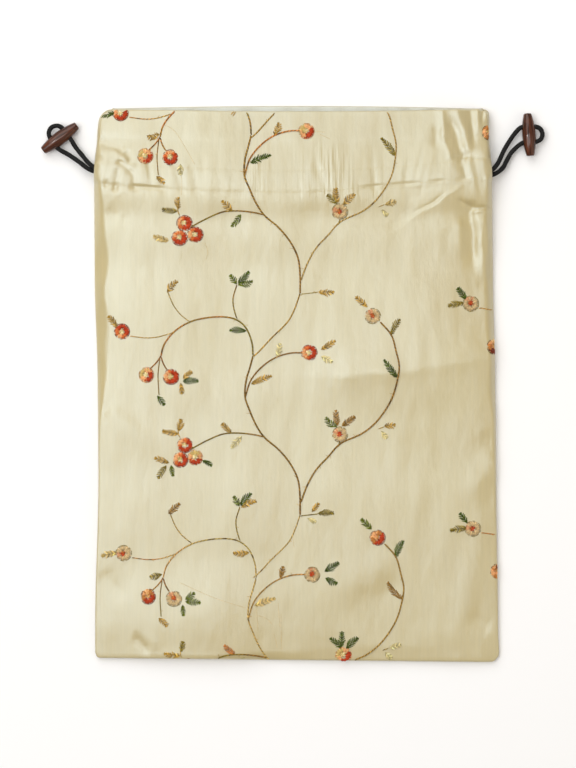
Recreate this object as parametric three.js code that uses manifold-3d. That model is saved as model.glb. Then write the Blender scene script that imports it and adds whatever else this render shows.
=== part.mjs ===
// A silk drawstring travel pouch lying on its back: two sewn panels, two drawcords, two wooden toggles.
// Millimetres. X runs across the pouch, Y up to its mouth and Z off the table that it lies on.
import * as THREE from "three";
import { mergeVertices } from "three/addons/utils/BufferGeometryUtils.js";
import Module from "manifold-3d";

const wasm = await Module();
wasm.setup();

// Driving dimensions.
const CLOTH = 1.0; // one layer of silk
const SEAM_GAP = 0.3; // between the two panels along their seam
const CORD_DIAMETER = 3.0;
const CHANNEL_HEIGHT = 14; // between the two stitch rows of the drawcord channel
const CHANNEL_BORE = 3.7; // room for the cord between the outer cloth and the turned-in hem
const CHANNEL_BORE_WIDTH = 9.4; // two cords lie side by side in it
const CHANNEL_BORE_BEVEL = 1.2;
const CHANNEL_ROLL = 2.4; // the channel's ends roll over this much wider than its wall is thick
const CHANNEL_WALL = CHANNEL_BORE + 2 * CLOTH;
const CHANNEL_FULLNESS = 2.5; // exponent of the channel's rounded cross-section
const STITCHED_WALL = 2 * CLOTH; // both layers pressed together by a stitch row
const HEM_WALL = 1.8; // both layers of the header above the channel
const CHANNEL_SWELL = 1.0; // how far the channel stands proud of its stitch rows
const CHANNEL_SEAM_RISE = 1.5; // how far the side seam lifts at the channel
const SLIT_HEIGHT = 9.9; // opening of the side seam where the drawcord comes out
const SLIT_WIDTH = 11;
const SLIT_DEPTH = 7.4;
const SLIT_PAST = 4; // the cut runs out past the seam
const CORNER_RADIUS = 5;
const BASE_ROUND = 4; // how far the front panel rolls over at the base seam
const PILLOW_WIDTH = 36; // how far in from its sides the front panel goes on rising
const PILLOW_SHARE = 0.3; // and the share of its height that it rises there
const BACK_ROUND = 6; // how far the back panel rolls up at its seams
const BASE_TILT = 1.3; // the base seam runs down to the right
const BASE_TILT_REACH = 80; // and the rows above it less and less, up to here
const CHANNEL_TILT = 0.75; // the channel runs up to the right
const BACK_LIP = 1.6; // the back panel's mouth stands past the front one
const BACK_LIP_ARCH = 2.75; // and further in the middle
const TOGGLE_LENGTH = 27;
const TOGGLE_RADIUS = 4.4;
const TOGGLE_END_RADIUS = 2.4;
const TOGGLE_FULLNESS = 1.9; // exponent of the spindle's outline
const TOGGLE_HOLE_SPACING = 10;
const TOGGLE_HOLE_DIAMETER = 3.9;
const TOGGLE_LIFT = 0.05; // off the table

// Facets.
const SIDE_STEPS = 4; // columns in the roll of each side
const FRONT_COLUMNS = 24;
const BACK_COLUMNS = 6;
const RIGHT_CROWDING = 0.45; // the front's columns crowd to the right, where its pleats are
const CORD_SIDES = 8;
const CORD_STEPS_PER_SPAN = 2;
const TOGGLE_SIDES = 14;
const TOGGLE_ROWS = 10;
const HOLE_SIDES = 10;

// A table's rows as objects with named columns.
function table(columns, rows) {
  return rows.map((row) => Object.fromEntries(columns.map((column, i) => [column, row[i]])));
}

// Cross-sections from the base seam up to the mouth, one row each.
//   y            place up the pouch, at its sides       left, right  the side seams
//   seam         height of the side seam                crown        height of the front panel
//   rollL, rollR how far the front panel's sides roll over
//   wall         thickness of the cloth                 sag          how far the row dips in the middle
//   rows         rows of facets up to the next section
const SECTIONS = table(
  ["name", "y", "left", "right", "seam", "crown", "rollL", "rollR", "wall", "sag", "rows"],
  [
    ["base", -175.9, -128.6, 129.1, 1.6, 4.0, 3, 3, CLOTH, 0, 5],
    ["corner", -153.9, -128.6, 128.2, 1.6, 4.8, 3, 3.5, CLOTH, 0, 5],
    ["belly", -60, -126.5, 127.0, 1.7, 7.2, 3.5, 4, CLOTH, 0, 4],
    ["middle", 0, -127.0, 126.3, 1.9, 8.6, 7.5, 5, CLOTH, 0, 5],
    ["shoulder", 70, -128.8, 124.8, 2.6, 11.0, 8.5, 6, CLOTH, 2, 4],
    ["under_channel", 104, -128.9, 124.3, 4.2, 13.0, 8, 6, CLOTH, 4.5, 6],
    ["lower_stitch", 128.25, -128.9, 123.9, 6.5, 15.0, 7, 6, STITCHED_WALL, 7, 6],
    ["upper_stitch", 142.25, -128.5, 123.2, 6.5, 15.0, 5, 6, STITCHED_WALL, 7, 3],
    ["header", 158, -127.0, 122.0, 5.4, 13.4, 4.5, 6, HEM_WALL, 4, 4],
    ["mouth", 173.8, -125.6, 122.4, 5.2, 13.0, 4.5, 6, HEM_WALL, 1, 0],
  ],
);

// Folds of the front panel: a ridge, or a dent where rise is negative, along a straight line.
const FOLDS = table(
  ["name", "fromX", "fromY", "toX", "toY", "width", "rise"],
  [
    ["channel_pull_valley", 46, 87, 103, 127, 3, -1.0],
    ["channel_pull_ridge", 48, 82, 104, 120, 4.5, 1.2],
    ["tuck", 101, 117, 121, 111, 4.5, -2.2],
    ["tuck_lip", 106, 105, 118, 103, 4, 1.0],
    ["side_valley", 104, 103, 114, 66, 6, -1.8],
    ["side_rib", 116, 100, 117, 62, 4, 1.2],
    ["header_rib_inner", 92, 176, 95, 150, 4, 1.2],
    ["header_valley", 100, 172, 101, 150, 5, -1.6],
    ["header_rib_outer", 104, 176, 108, 152, 4, 1.2],
    ["header_dip", 110, 176, 113, 154, 4, -1.0],
    ["left_cord_wave", -124, 158, -108, 148, 6, -1.4],
    ["left_cord_ridge", -122, 150, -113, 146, 5, 0.9],
    ["pressed_crease", 122, 16, -12, -3, 9, 1.2],
    ["crease_faint_end", -12, -3, -82, -7, 9, 0.6],
    ["left_slant", -122, -10, -100, -36, 8, -1.3],
    ["belly_swell", 20, -135, 66, -112, 24, 1.2],
    ["corner_dent", -103, -160, -94, -168, 5, -1.4],
  ],
);
const FOLD_CLEAR = 8; // folds stop this far from the channel's middle
const FOLD_FULL = 14; // and are whole from here on

// Routes of the drawcords: out of the back channel through the side slit, through the toggle's holes,
// back in at the front, once round the channel and up to where each began.
const LEFT_ROUTE = [
  [-117.0, 135.6, 2.8], [-121.5, 135.6, 2.9], [-125.2, 135.4, 4.6], [-128.9, 135.3, 6.6],
  [-133.0, 137.0, 6.4], [-138.5, 141.2, 4.6], [-145.0, 145.7, 3.8], [-152.1, 149.9, 4.45],
  [-154.8, 153.5, 4.45], [-157.0, 156.4, 4.45], [-157.9, 160.1, 4.45], [-155.9, 163.4, 4.45],
  [-152.2, 164.3, 4.45], [-148.9, 162.4, 4.45], [-146.8, 159.5, 4.45], [-144.1, 155.9, 4.45],
  [-140.8, 150.6, 4.0], [-136.4, 145.2, 4.9], [-132.6, 140.6, 7.0], [-128.9, 137.7, 9.4],
  [-125.0, 136.2, 11.6], [-121.3, 135.6, 13.0], [-116.5, 135.5, 13.2], [-90, 133.1, 13.2],
  [-45, 130.8, 13.2], [45, 131.5, 13.2], [90, 134.6, 13.2], [115.9, 137.1, 13.2],
  [118.5, 137.4, 12.5], [120.4, 137.6, 10.65], [121.1, 137.6, 8.0], [120.4, 137.6, 5.35],
  [118.5, 137.4, 3.5], [115.9, 137.1, 2.8], [90, 134.6, 2.8], [45, 131.5, 2.8],
  [-45, 130.8, 2.8], [-90, 133.1, 2.8], [-116.5, 135.4, 2.8],
];
const RIGHT_ROUTE = [
  [112.0, 132.7, 2.8], [116.5, 132.9, 2.9], [120.2, 132.8, 4.6], [123.9, 132.9, 6.6],
  [127.6, 134.6, 6.3], [131.0, 137.6, 5.0], [133.8, 142.8, 3.9], [137.0, 147.9, 3.7],
  [143.5, 153.3, 4.45], [147.9, 153.6, 4.45], [151.5, 153.9, 4.45], [155.0, 155.6, 4.45],
  [156.2, 159.2, 4.45], [154.5, 162.6, 4.45], [150.8, 163.8, 4.45], [147.3, 163.6, 4.45],
  [142.8, 163.3, 4.45], [139.6, 160.6, 4.1], [132.6, 150.3, 4.4], [127.4, 139.9, 7.4],
  [123.9, 135.9, 9.4], [120.2, 133.9, 11.5], [116.4, 133.1, 13.0], [111.5, 132.6, 13.2],
  [90, 130.6, 13.2], [45, 127.5, 13.2], [-45, 126.8, 13.2], [-90, 129.1, 13.2],
  [-120.9, 131.7, 13.2], [-123.5, 132.0, 12.5], [-125.4, 132.1, 10.65], [-126.1, 132.2, 8.0],
  [-125.4, 132.1, 5.35], [-123.5, 132.0, 3.5], [-120.9, 131.7, 2.8], [-90, 129.1, 2.8],
  [-45, 126.8, 2.8], [45, 127.5, 2.8], [90, 130.6, 2.8], [111.5, 132.6, 2.8],
];
const LEFT_TOGGLE = { x: -150.8, y: 156.5, turn: -53.4 };
const RIGHT_TOGGLE = { x: 147.6, y: 158.6, turn: 4.0 };

const silk = new THREE.MeshStandardMaterial({ color: "#dcd0ad", roughness: 0.45, metalness: 0 });
const blackCord = new THREE.MeshStandardMaterial({ color: "#14130f", roughness: 0.6, metalness: 0 });
const darkWood = new THREE.MeshStandardMaterial({ color: "#43200f", roughness: 0.25, metalness: 0 });

const { lerp, clamp, smoothstep, degToRad } = THREE.MathUtils;

// The values of a section at any height: a smooth blend of the two rows of the table around it.
function sectionAt(y) {
  const last = SECTIONS.length - 2;
  const next = SECTIONS.findIndex((section) => section.y > y);
  const k = next < 0 ? last : clamp(next - 1, 0, last);
  const [below, above] = [SECTIONS[k], SECTIONS[k + 1]];
  const blend = smoothstep(y, below.y, above.y);
  const at = {};
  for (const column of ["left", "right", "seam", "crown", "rollL", "rollR", "wall", "sag"])
    at[column] = lerp(below[column], above[column], blend);
  const swell = channelSwell(y);
  at.swell = swell;
  at.seam += CHANNEL_SEAM_RISE * swell;
  at.crown += CHANNEL_SWELL * swell;
  at.wall += (CHANNEL_WALL - STITCHED_WALL) * swell;
  return at;
}

const rowNamed = (name) => SECTIONS.find((section) => section.name === name).y;
const base = rowNamed("base");
const shoulder = rowNamed("shoulder");
const lowerStitch = rowNamed("lower_stitch");
const upperStitch = rowNamed("upper_stitch");
const mouth = rowNamed("mouth");
const channelMiddle = (lowerStitch + upperStitch) / 2;

// How full the drawcord channel stands at a height: 1 along its middle, 0 at its stitch rows and beyond.
function channelSwell(y) {
  const off = Math.abs(y - channelMiddle) / (CHANNEL_HEIGHT / 2);
  return off >= 1 ? 0 : (1 - off ** CHANNEL_FULLNESS) ** (1 / CHANNEL_FULLNESS);
}

// How far the rounded corners at the base and the mouth draw the side seams in.
function cornerInset(y) {
  const end = Math.min(y - base, mouth - y);
  if (end >= CORNER_RADIUS) return 0;
  return CORNER_RADIUS - Math.sqrt(CORNER_RADIUS ** 2 - (CORNER_RADIUS - Math.max(end, 0)) ** 2);
}

// The shift of a row up or down the pouch, for a place across it from -1 to 1.
function rowShift(y, across, section) {
  const tilt = CHANNEL_TILT * smoothstep(y, shoulder, lowerStitch) * (1 - smoothstep(y, upperStitch, mouth));
  const slope = -BASE_TILT * (1 - smoothstep(y, base, base + BASE_TILT_REACH));
  return (tilt + slope) * across - section.sag * (1 - across ** 2);
}

function distanceToLine(x, y, fold) {
  const [dx, dy] = [fold.toX - fold.fromX, fold.toY - fold.fromY];
  const along = clamp(((x - fold.fromX) * dx + (y - fold.fromY) * dy) / (dx * dx + dy * dy), 0, 1);
  return Math.hypot(x - fold.fromX - along * dx, y - fold.fromY - along * dy);
}

// The height that the folds add at a place on the front panel.
function foldHeight(x, y, row) {
  const clear = smoothstep(Math.abs(row - channelMiddle), FOLD_CLEAR, FOLD_FULL);
  let height = 0;
  for (const fold of FOLDS) {
    const off = distanceToLine(x, y, fold) / fold.width;
    height += fold.rise * Math.exp(-(off ** 2));
  }
  return clear * height;
}

// The share of its full height that the front panel has at a place.
// It goes on rising from its sides, except in the channel.
function pillow(x, row, section) {
  let rise = 1;
  for (const run of [x - section.left, section.right - x]) {
    const out = 1 - clamp(run / PILLOW_WIDTH, 0, 1);
    rise *= 1 - out ** 2;
  }
  return 1 - PILLOW_SHARE * (1 - rise) * (1 - smoothstep(row, shoulder, lowerStitch));
}

// The columns of a panel: steps round the roll of each side, and places across between them.
function panelColumns(middleColumns, crowding) {
  const columns = [];
  const turn = (step) => (step / SIDE_STEPS) * (Math.PI / 2);
  for (let i = 0; i < SIDE_STEPS; i++) columns.push({ side: -1, angle: turn(i) });
  for (let i = 0; i <= middleColumns; i++) {
    const s = i / middleColumns;
    columns.push({ side: 0, place: (1 + crowding) * s - crowding * s * s });
  }
  for (let i = SIDE_STEPS - 1; i >= 0; i--) columns.push({ side: 1, angle: turn(i) });
  return columns;
}

// The rows of a panel, crowded at the base seam and at the mouth, where its corners are round.
function panelRows(thinning) {
  const rows = [];
  for (let k = 0; k + 1 < SECTIONS.length; k++) {
    const [below, above] = [SECTIONS[k], SECTIONS[k + 1]];
    const whole = ["base", "lower_stitch", "header"].includes(below.name);
    const steps = whole ? below.rows : Math.ceil(below.rows / thinning);
    for (let i = 0; i < steps; i++) {
      let s = i / steps;
      if (below.name === "base") s = 1 - Math.cos((s * Math.PI) / 2);
      if (below.name === "header") s = Math.sin((s * Math.PI) / 2);
      rows.push(lerp(below.y, above.y, s));
    }
  }
  rows.push(mouth);
  return rows;
}

// A point of a panel at a depth under its outer face.
// Front and back differ in which way they bulge from the seam.
function panelPoint(facing, row, column, depth) {
  const section = sectionAt(row);
  const roll = facing > 0 ? [section.rollL, section.rollR] : [BACK_ROUND, BACK_ROUND];
  const rolled = roll.map((r) => Math.max(r, section.swell * (CHANNEL_WALL + CHANNEL_ROLL)));
  const inset = cornerInset(row);
  const left = section.left + inset + depth;
  const right = section.right - inset - depth;
  let x, lift;
  if (column.side === 0) {
    x = lerp(left + rolled[0] - depth, right - rolled[1] + depth, column.place);
    lift = 1;
  } else {
    const turn = (rolled[column.side < 0 ? 0 : 1] - depth) * (1 - Math.cos(column.angle));
    x = column.side < 0 ? left + turn : right - turn;
    lift = Math.sin(column.angle);
  }
  const baseReach = facing > 0 ? BASE_ROUND : BACK_ROUND;
  const up = clamp((row - base) / baseReach, 0, 1);
  lift *= Math.sqrt(1 - (1 - up) ** 2);
  const across = clamp((2 * (x - section.left)) / (section.right - section.left) - 1, -1, 1);
  let y = row + rowShift(row, across, section) + depth * (1 - up);
  const edge = section.seam + (facing * SEAM_GAP) / 2;
  if (facing > 0) {
    const crown = section.crown * pillow(x, row, section);
    const z = edge + (crown - edge - depth) * lift + lift * foldHeight(x, y, row);
    return new THREE.Vector3(x, y, z);
  }
  y += (BACK_LIP + BACK_LIP_ARCH * (1 - across ** 2)) * smoothstep(row, upperStitch, mouth);
  return new THREE.Vector3(x, y, edge + (depth - edge) * lift);
}

// A closed solid from triangles over a list of points.
function solidFrom(points, triangles) {
  const vertProperties = new Float32Array(points.flatMap((p) => [p.x, p.y, p.z]));
  const triVerts = new Uint32Array(triangles);
  return new wasm.Manifold(new wasm.Mesh({ numProp: 3, vertProperties, triVerts }));
}

function solidOf(geometry) {
  const bare = geometry.clone();
  bare.deleteAttribute("normal");
  bare.deleteAttribute("uv");
  const merged = mergeVertices(bare, 1e-4);
  return new wasm.Manifold(
    new wasm.Mesh({
      numProp: 3,
      vertProperties: new Float32Array(merged.attributes.position.array),
      triVerts: new Uint32Array(merged.index.array),
    }),
  );
}

function geometryOf(solid) {
  const mesh = solid.getMesh();
  const geometry = new THREE.BufferGeometry();
  geometry.setAttribute("position", new THREE.BufferAttribute(mesh.vertProperties, mesh.numProp));
  geometry.setIndex(new THREE.BufferAttribute(mesh.triVerts, 1));
  geometry.computeVertexNormals();
  return geometry;
}

// A panel's wall: its outer face, its inner face and the edge all round between them.
function panelWall(facing, columns, rows) {
  const points = [];
  const triangles = [];
  for (const inside of [false, true])
    for (const row of rows)
      for (const column of columns)
        points.push(panelPoint(facing, row, column, inside ? sectionAt(row).wall : 0));
  const wide = columns.length;
  const layer = wide * rows.length;
  const at = (i, j, inside) => (inside ? layer : 0) + j * wide + i;
  const quad = (a, b, c, d) => triangles.push(...(facing > 0 ? [a, b, c, a, c, d] : [a, c, b, a, d, c]));
  for (let j = 0; j + 1 < rows.length; j++)
    for (let i = 0; i + 1 < wide; i++) {
      quad(at(i, j, false), at(i + 1, j, false), at(i + 1, j + 1, false), at(i, j + 1, false));
      quad(at(i, j + 1, true), at(i + 1, j + 1, true), at(i + 1, j, true), at(i, j, true));
    }
  for (let i = 0; i + 1 < wide; i++) {
    const top = rows.length - 1;
    quad(at(i, 0, true), at(i + 1, 0, true), at(i + 1, 0, false), at(i, 0, false));
    quad(at(i, top, false), at(i + 1, top, false), at(i + 1, top, true), at(i, top, true));
  }
  for (let j = 0; j + 1 < rows.length; j++) {
    const end = wide - 1;
    quad(at(0, j, true), at(0, j, false), at(0, j + 1, false), at(0, j + 1, true));
    quad(at(end, j, false), at(end, j, true), at(end, j + 1, true), at(end, j + 1, false));
  }
  return solidFrom(points, triangles);
}

// The bore of the drawcord channel: one flat tube right round the pouch, in the middle of the channel's wall.
function channelBore(columns) {
  const halfBore = CHANNEL_BORE / 2;
  const halfWidth = CHANNEL_BORE_WIDTH / 2;
  const corner = [halfWidth - CHANNEL_BORE_BEVEL, halfBore];
  const cheek = [halfWidth, halfBore - CHANNEL_BORE_BEVEL];
  const outline = [];
  for (const [sy, sn] of [[1, 1], [-1, 1], [-1, -1], [1, -1]]) {
    const pair = [cheek, corner].map(([w, h]) => [sy * w, sn * h]);
    outline.push(...(sy * sn > 0 ? pair : pair.reverse()));
  }
  const depth = CHANNEL_WALL / 2;
  const middle = (facing) => columns.map((column) => panelPoint(facing, channelMiddle, column, depth));
  const ring = [...middle(1), ...middle(-1).reverse()];
  const points = [];
  const triangles = [];
  ring.forEach((centre, k) => {
    const before = ring[(k + ring.length - 1) % ring.length];
    const after = ring[(k + 1) % ring.length];
    const normal = new THREE.Vector2(after.z - before.z, before.x - after.x).normalize();
    for (const [up, out] of outline)
      points.push(new THREE.Vector3(centre.x - normal.x * out, centre.y + up, centre.z - normal.y * out));
  });
  const sides = outline.length;
  for (let k = 0; k < ring.length; k++)
    for (let s = 0; s < sides; s++) {
      const [a, b] = [k * sides + s, k * sides + ((s + 1) % sides)];
      const next = ((k + 1) % ring.length) * sides;
      const [c, d] = [next + ((s + 1) % sides), next + s];
      triangles.push(a, b, c, a, c, d);
    }
  return solidFrom(points, triangles);
}

// The opening of a side seam across the channel.
function slit(side) {
  const section = sectionAt(channelMiddle);
  const edge = side < 0 ? section.left : section.right;
  const block = new THREE.BoxGeometry(SLIT_DEPTH + SLIT_PAST, SLIT_WIDTH, SLIT_HEIGHT);
  const y = channelMiddle + rowShift(channelMiddle, side, section);
  block.translate(edge + (side * (SLIT_PAST - SLIT_DEPTH)) / 2, y, section.seam);
  return solidOf(block);
}

function panel(facing, middleColumns, crowding, thinning) {
  const columns = panelColumns(middleColumns, crowding);
  let wall = panelWall(facing, columns, panelRows(thinning));
  const bore = channelBore(panelColumns(BACK_COLUMNS * 2, 0));
  for (const cut of [bore, slit(-1), slit(1)]) wall = wall.subtract(cut);
  return geometryOf(wall);
}

// A route whose steps follow its own points, so that they are short where it bends.
class CordRoute extends THREE.CatmullRomCurve3 {
  getUtoTmapping(u) {
    return u;
  }
}

function drawcord(points) {
  const outline = new THREE.Shape();
  for (let i = 0; i < CORD_SIDES; i++) {
    const angle = (i / CORD_SIDES) * 2 * Math.PI;
    const corner = [Math.cos(angle), Math.sin(angle)].map((v) => (v * CORD_DIAMETER) / 2);
    if (i === 0) outline.moveTo(...corner);
    else outline.lineTo(...corner);
  }
  outline.closePath();
  const route = new CordRoute(points.map((p) => new THREE.Vector3(...p)));
  const steps = CORD_STEPS_PER_SPAN * (points.length - 1);
  return new THREE.ExtrudeGeometry(outline, { steps, extrudePath: route, bevelEnabled: false });
}

// A turned spindle with flat ends, drilled across twice for the drawcord.
function toggle() {
  const half = TOGGLE_LENGTH / 2;
  const profile = [new THREE.Vector2(0, -half)];
  for (let i = 0; i <= TOGGLE_ROWS; i++) {
    const s = (2 * i) / TOGGLE_ROWS - 1;
    const swell = 1 - Math.abs(s) ** TOGGLE_FULLNESS;
    profile.push(new THREE.Vector2(lerp(TOGGLE_END_RADIUS, TOGGLE_RADIUS, swell), s * half));
  }
  profile.push(new THREE.Vector2(0, half));
  let body = solidOf(new THREE.LatheGeometry(profile, TOGGLE_SIDES));
  for (const end of [-1, 1]) {
    const drill = new THREE.CylinderGeometry(
      TOGGLE_HOLE_DIAMETER / 2,
      TOGGLE_HOLE_DIAMETER / 2,
      4 * TOGGLE_RADIUS,
      HOLE_SIDES,
    );
    drill.rotateZ(Math.PI / 2).translate(0, (end * TOGGLE_HOLE_SPACING) / 2, 0);
    body = body.subtract(solidOf(drill));
  }
  return geometryOf(body);
}

const pouch = new THREE.Group();

function add(name, geometry, material, place) {
  const mesh = new THREE.Mesh(geometry, material);
  mesh.name = name;
  if (place) {
    mesh.position.set(place.x, place.y, TOGGLE_RADIUS + TOGGLE_LIFT);
    mesh.rotation.z = degToRad(place.turn);
  }
  pouch.add(mesh);
}

add("front_panel", panel(1, FRONT_COLUMNS, RIGHT_CROWDING, 1), silk);
add("back_panel", panel(-1, BACK_COLUMNS, 0, 2), silk);
add("drawcord_left", drawcord(LEFT_ROUTE), blackCord);
add("drawcord_right", drawcord(RIGHT_ROUTE), blackCord);
add("toggle_left", toggle(), darkWood, LEFT_TOGGLE);
add("toggle_right", toggle(), darkWood, RIGHT_TOGGLE);

export default pouch;
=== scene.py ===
"""A silk travel pouch embroidered with a vine, lying on its back, with two drawcords and wooden toggles."""
import math

import bpy
import numpy as np
from mathutils import Matrix, Vector


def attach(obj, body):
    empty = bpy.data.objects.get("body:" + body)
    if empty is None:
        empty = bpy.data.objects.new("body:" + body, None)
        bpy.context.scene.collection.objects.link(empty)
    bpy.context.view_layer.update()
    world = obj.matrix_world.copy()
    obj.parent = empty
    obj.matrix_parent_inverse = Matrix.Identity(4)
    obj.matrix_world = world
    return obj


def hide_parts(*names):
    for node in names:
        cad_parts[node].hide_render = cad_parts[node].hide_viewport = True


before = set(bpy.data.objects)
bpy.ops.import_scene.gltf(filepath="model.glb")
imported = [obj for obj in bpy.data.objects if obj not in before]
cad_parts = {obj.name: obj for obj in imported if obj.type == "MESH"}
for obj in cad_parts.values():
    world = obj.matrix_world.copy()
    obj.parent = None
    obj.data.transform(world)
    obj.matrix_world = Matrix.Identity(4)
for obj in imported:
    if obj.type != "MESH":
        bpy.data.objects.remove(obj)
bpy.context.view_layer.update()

# Sizes and tables are in millimetres, and meshes are made in metres.
MM = 0.001
CLOTH = 0.6
SEAM_GAP = 0.06
CORD_DIAMETER = 3.0
CORD_SINK = 1.2
CORD_STEP, CORD_SIDES = 0.6, 16
BRAID_STRANDS, BRAID_PITCH = 4, 7.0
CHANNEL_HEIGHT = 14.0
CHANNEL_WALL = 6.0
CHANNEL_FULLNESS = 2.0
CHANNEL_SWELL = 0.5
CHANNEL_SEAM_RISE = 1.5
STITCHED_WALL = 1.4
SLIT_LIFT = 4.4
STITCH_CLIMB, CLIMB_FROM, CLIMB_TO = 2.7, 5.0, 60.0
# Gathers along the stitch rows: lean, sway and rise, how far they reach inside and outside the channel,
# and the grooves that the rows press into the cloth.
RIPPLE_LEAN, RIPPLE_SWAY, RIPPLE_RISE = 0.25, 17.0, 0.2
RIPPLE_REACH = (8.0, 6.0)
LOWER_GROOVE, LOWER_GROOVE_WIDTH = 0.04, 0.75
UPPER_GROOVE, UPPER_GROOVE_WIDTH = 0.06, 0.9
# Stretches of the lower stitch row that are drawn in tight: from, to, and the blend at each end.
DRAWN_AT_LEFT, DRAWN_AT_RIGHT = (-101, -89, 6), (44, 100, 12)
BASE_CORNERS = (3.5, 6.5)
MOUTH_CORNERS = (8.0, 4.0)
BASE_ROUND = 1.2
PILLOW_WIDTH = 36.0
PILLOW_SHARE = 0.3
BACK_ROUND = 6.0
BASE_TILT, BASE_TILT_RUN = 1.3, 80.0
CHANNEL_TILT = 0.75
BACK_LIP = 0.9
BACK_LIP_ARCH = 3.45
HEM_TURN = 5.0
ROLL_WANDER = 0.14
LEAST_ROLL, CHANNEL_ROLL, BACK_CHANNEL_ROLL = 1.0, 5.5, 7.0
THIN_ROLL = 0.5
OUTER_DEPTH = 0.1
ROW_STEPS = 5
# Fine gathers in the silk's bump: where they start and stop up the cloth and begin across it, in
# metres, the share of noise that makes their patches, and depths beside the crumples all over.
GATHERS_START, GATHERS_STOP = (0.108, 0.122), (0.158, 0.14)
GATHERS_OFF_LEFT = (-0.06, -0.02)
GATHERS_PATCHY = (0.42, 0.66)
GATHER_DEPTH = 0.75
CRUMPLE_DEPTH = 0.35
MOUTH_REACH = 0.4
TOGGLE_LENGTH = 27.0
TOGGLE_RADIUS = 4.4
TOGGLE_END_RADIUS = 2.4
TOGGLE_FULLNESS = 1.9
TOGGLE_BEVEL, TOGGLE_BEVEL_HEIGHT = 0.35, 0.3
TOGGLE_HOLE_SPACING = 10.0
TOGGLE_HOLE_DIAMETER = 3.8
TOGGLE_LIFT = 0.05

# The photograph's scale and the pixel over the middle of the pouch. The chart below is read in its pixels.
PIXEL = 0.635
PHOTO_CENTRE = (297.0, 384.0)
PHOTO_SIZE = (576, 768)

# Cross-sections from the base seam to the mouth: place up the pouch, side seams, heights, widths of the
# rolls at the sides and how square they are (1 is a plain slope, 2 is round), thickness with the
# turned-in hem, and the dip of the row in the middle.
SECTION_COLUMNS = ("y", "left", "right", "seam", "crown", "roll_left", "roll_right",
                   "square_left", "square_right", "wall", "sag")
SECTIONS = np.array([
    (-175.9, -128.6, 129.1, 1.6, 4.0, 0.9, 1.1, 2.0, 2.0, 1.0, 0),
    (-153.9, -128.6, 128.2, 1.6, 4.8, 0.9, 1.2, 2.0, 2.0, 1.0, 0),
    (-60.0, -126.5, 127.0, 1.7, 7.2, 1.0, 1.6, 2.0, 1.9, 1.0, 0),
    (-26.0, -126.7, 126.7, 1.8, 8.0, 1.2, 2.2, 1.9, 1.8, 1.0, 0),
    (0.0, -127.0, 126.3, 1.9, 8.6, 6.5, 4.5, 1.4, 1.6, 1.0, 0),
    (70.0, -128.8, 124.8, 2.6, 11.0, 8.5, 5.0, 1.25, 1.5, 1.0, 2),
    (104.0, -128.9, 124.3, 4.2, 13.0, 8.0, 4.0, 1.4, 1.5, 1.0, 4.5),
    (128.25, -128.9, 123.9, 6.5, 15.2, 6.0, 4.5, 1.5, 1.6, STITCHED_WALL, 7),
    (142.25, -128.5, 123.2, 6.5, 15.2, 4.0, 3.5, 1.9, 1.7, STITCHED_WALL, 7),
    (158.0, -127.0, 122.0, 5.4, 13.4, 2.2, 2.4, 2.0, 1.8, 1.6, 4),
    (173.8, -125.6, 122.4, 5.2, 12.3, 2.0, 2.2, 2.0, 2.0, 1.6, 1.7),
])
BASE, MOUTH = SECTIONS[0, 0], SECTIONS[-1, 0]
SHOULDER = SECTIONS[5, 0]
LOWER_STITCH, UPPER_STITCH, HEADER = SECTIONS[7:10, 0]
CHANNEL_MIDDLE = (LOWER_STITCH + UPPER_STITCH) / 2

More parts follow.
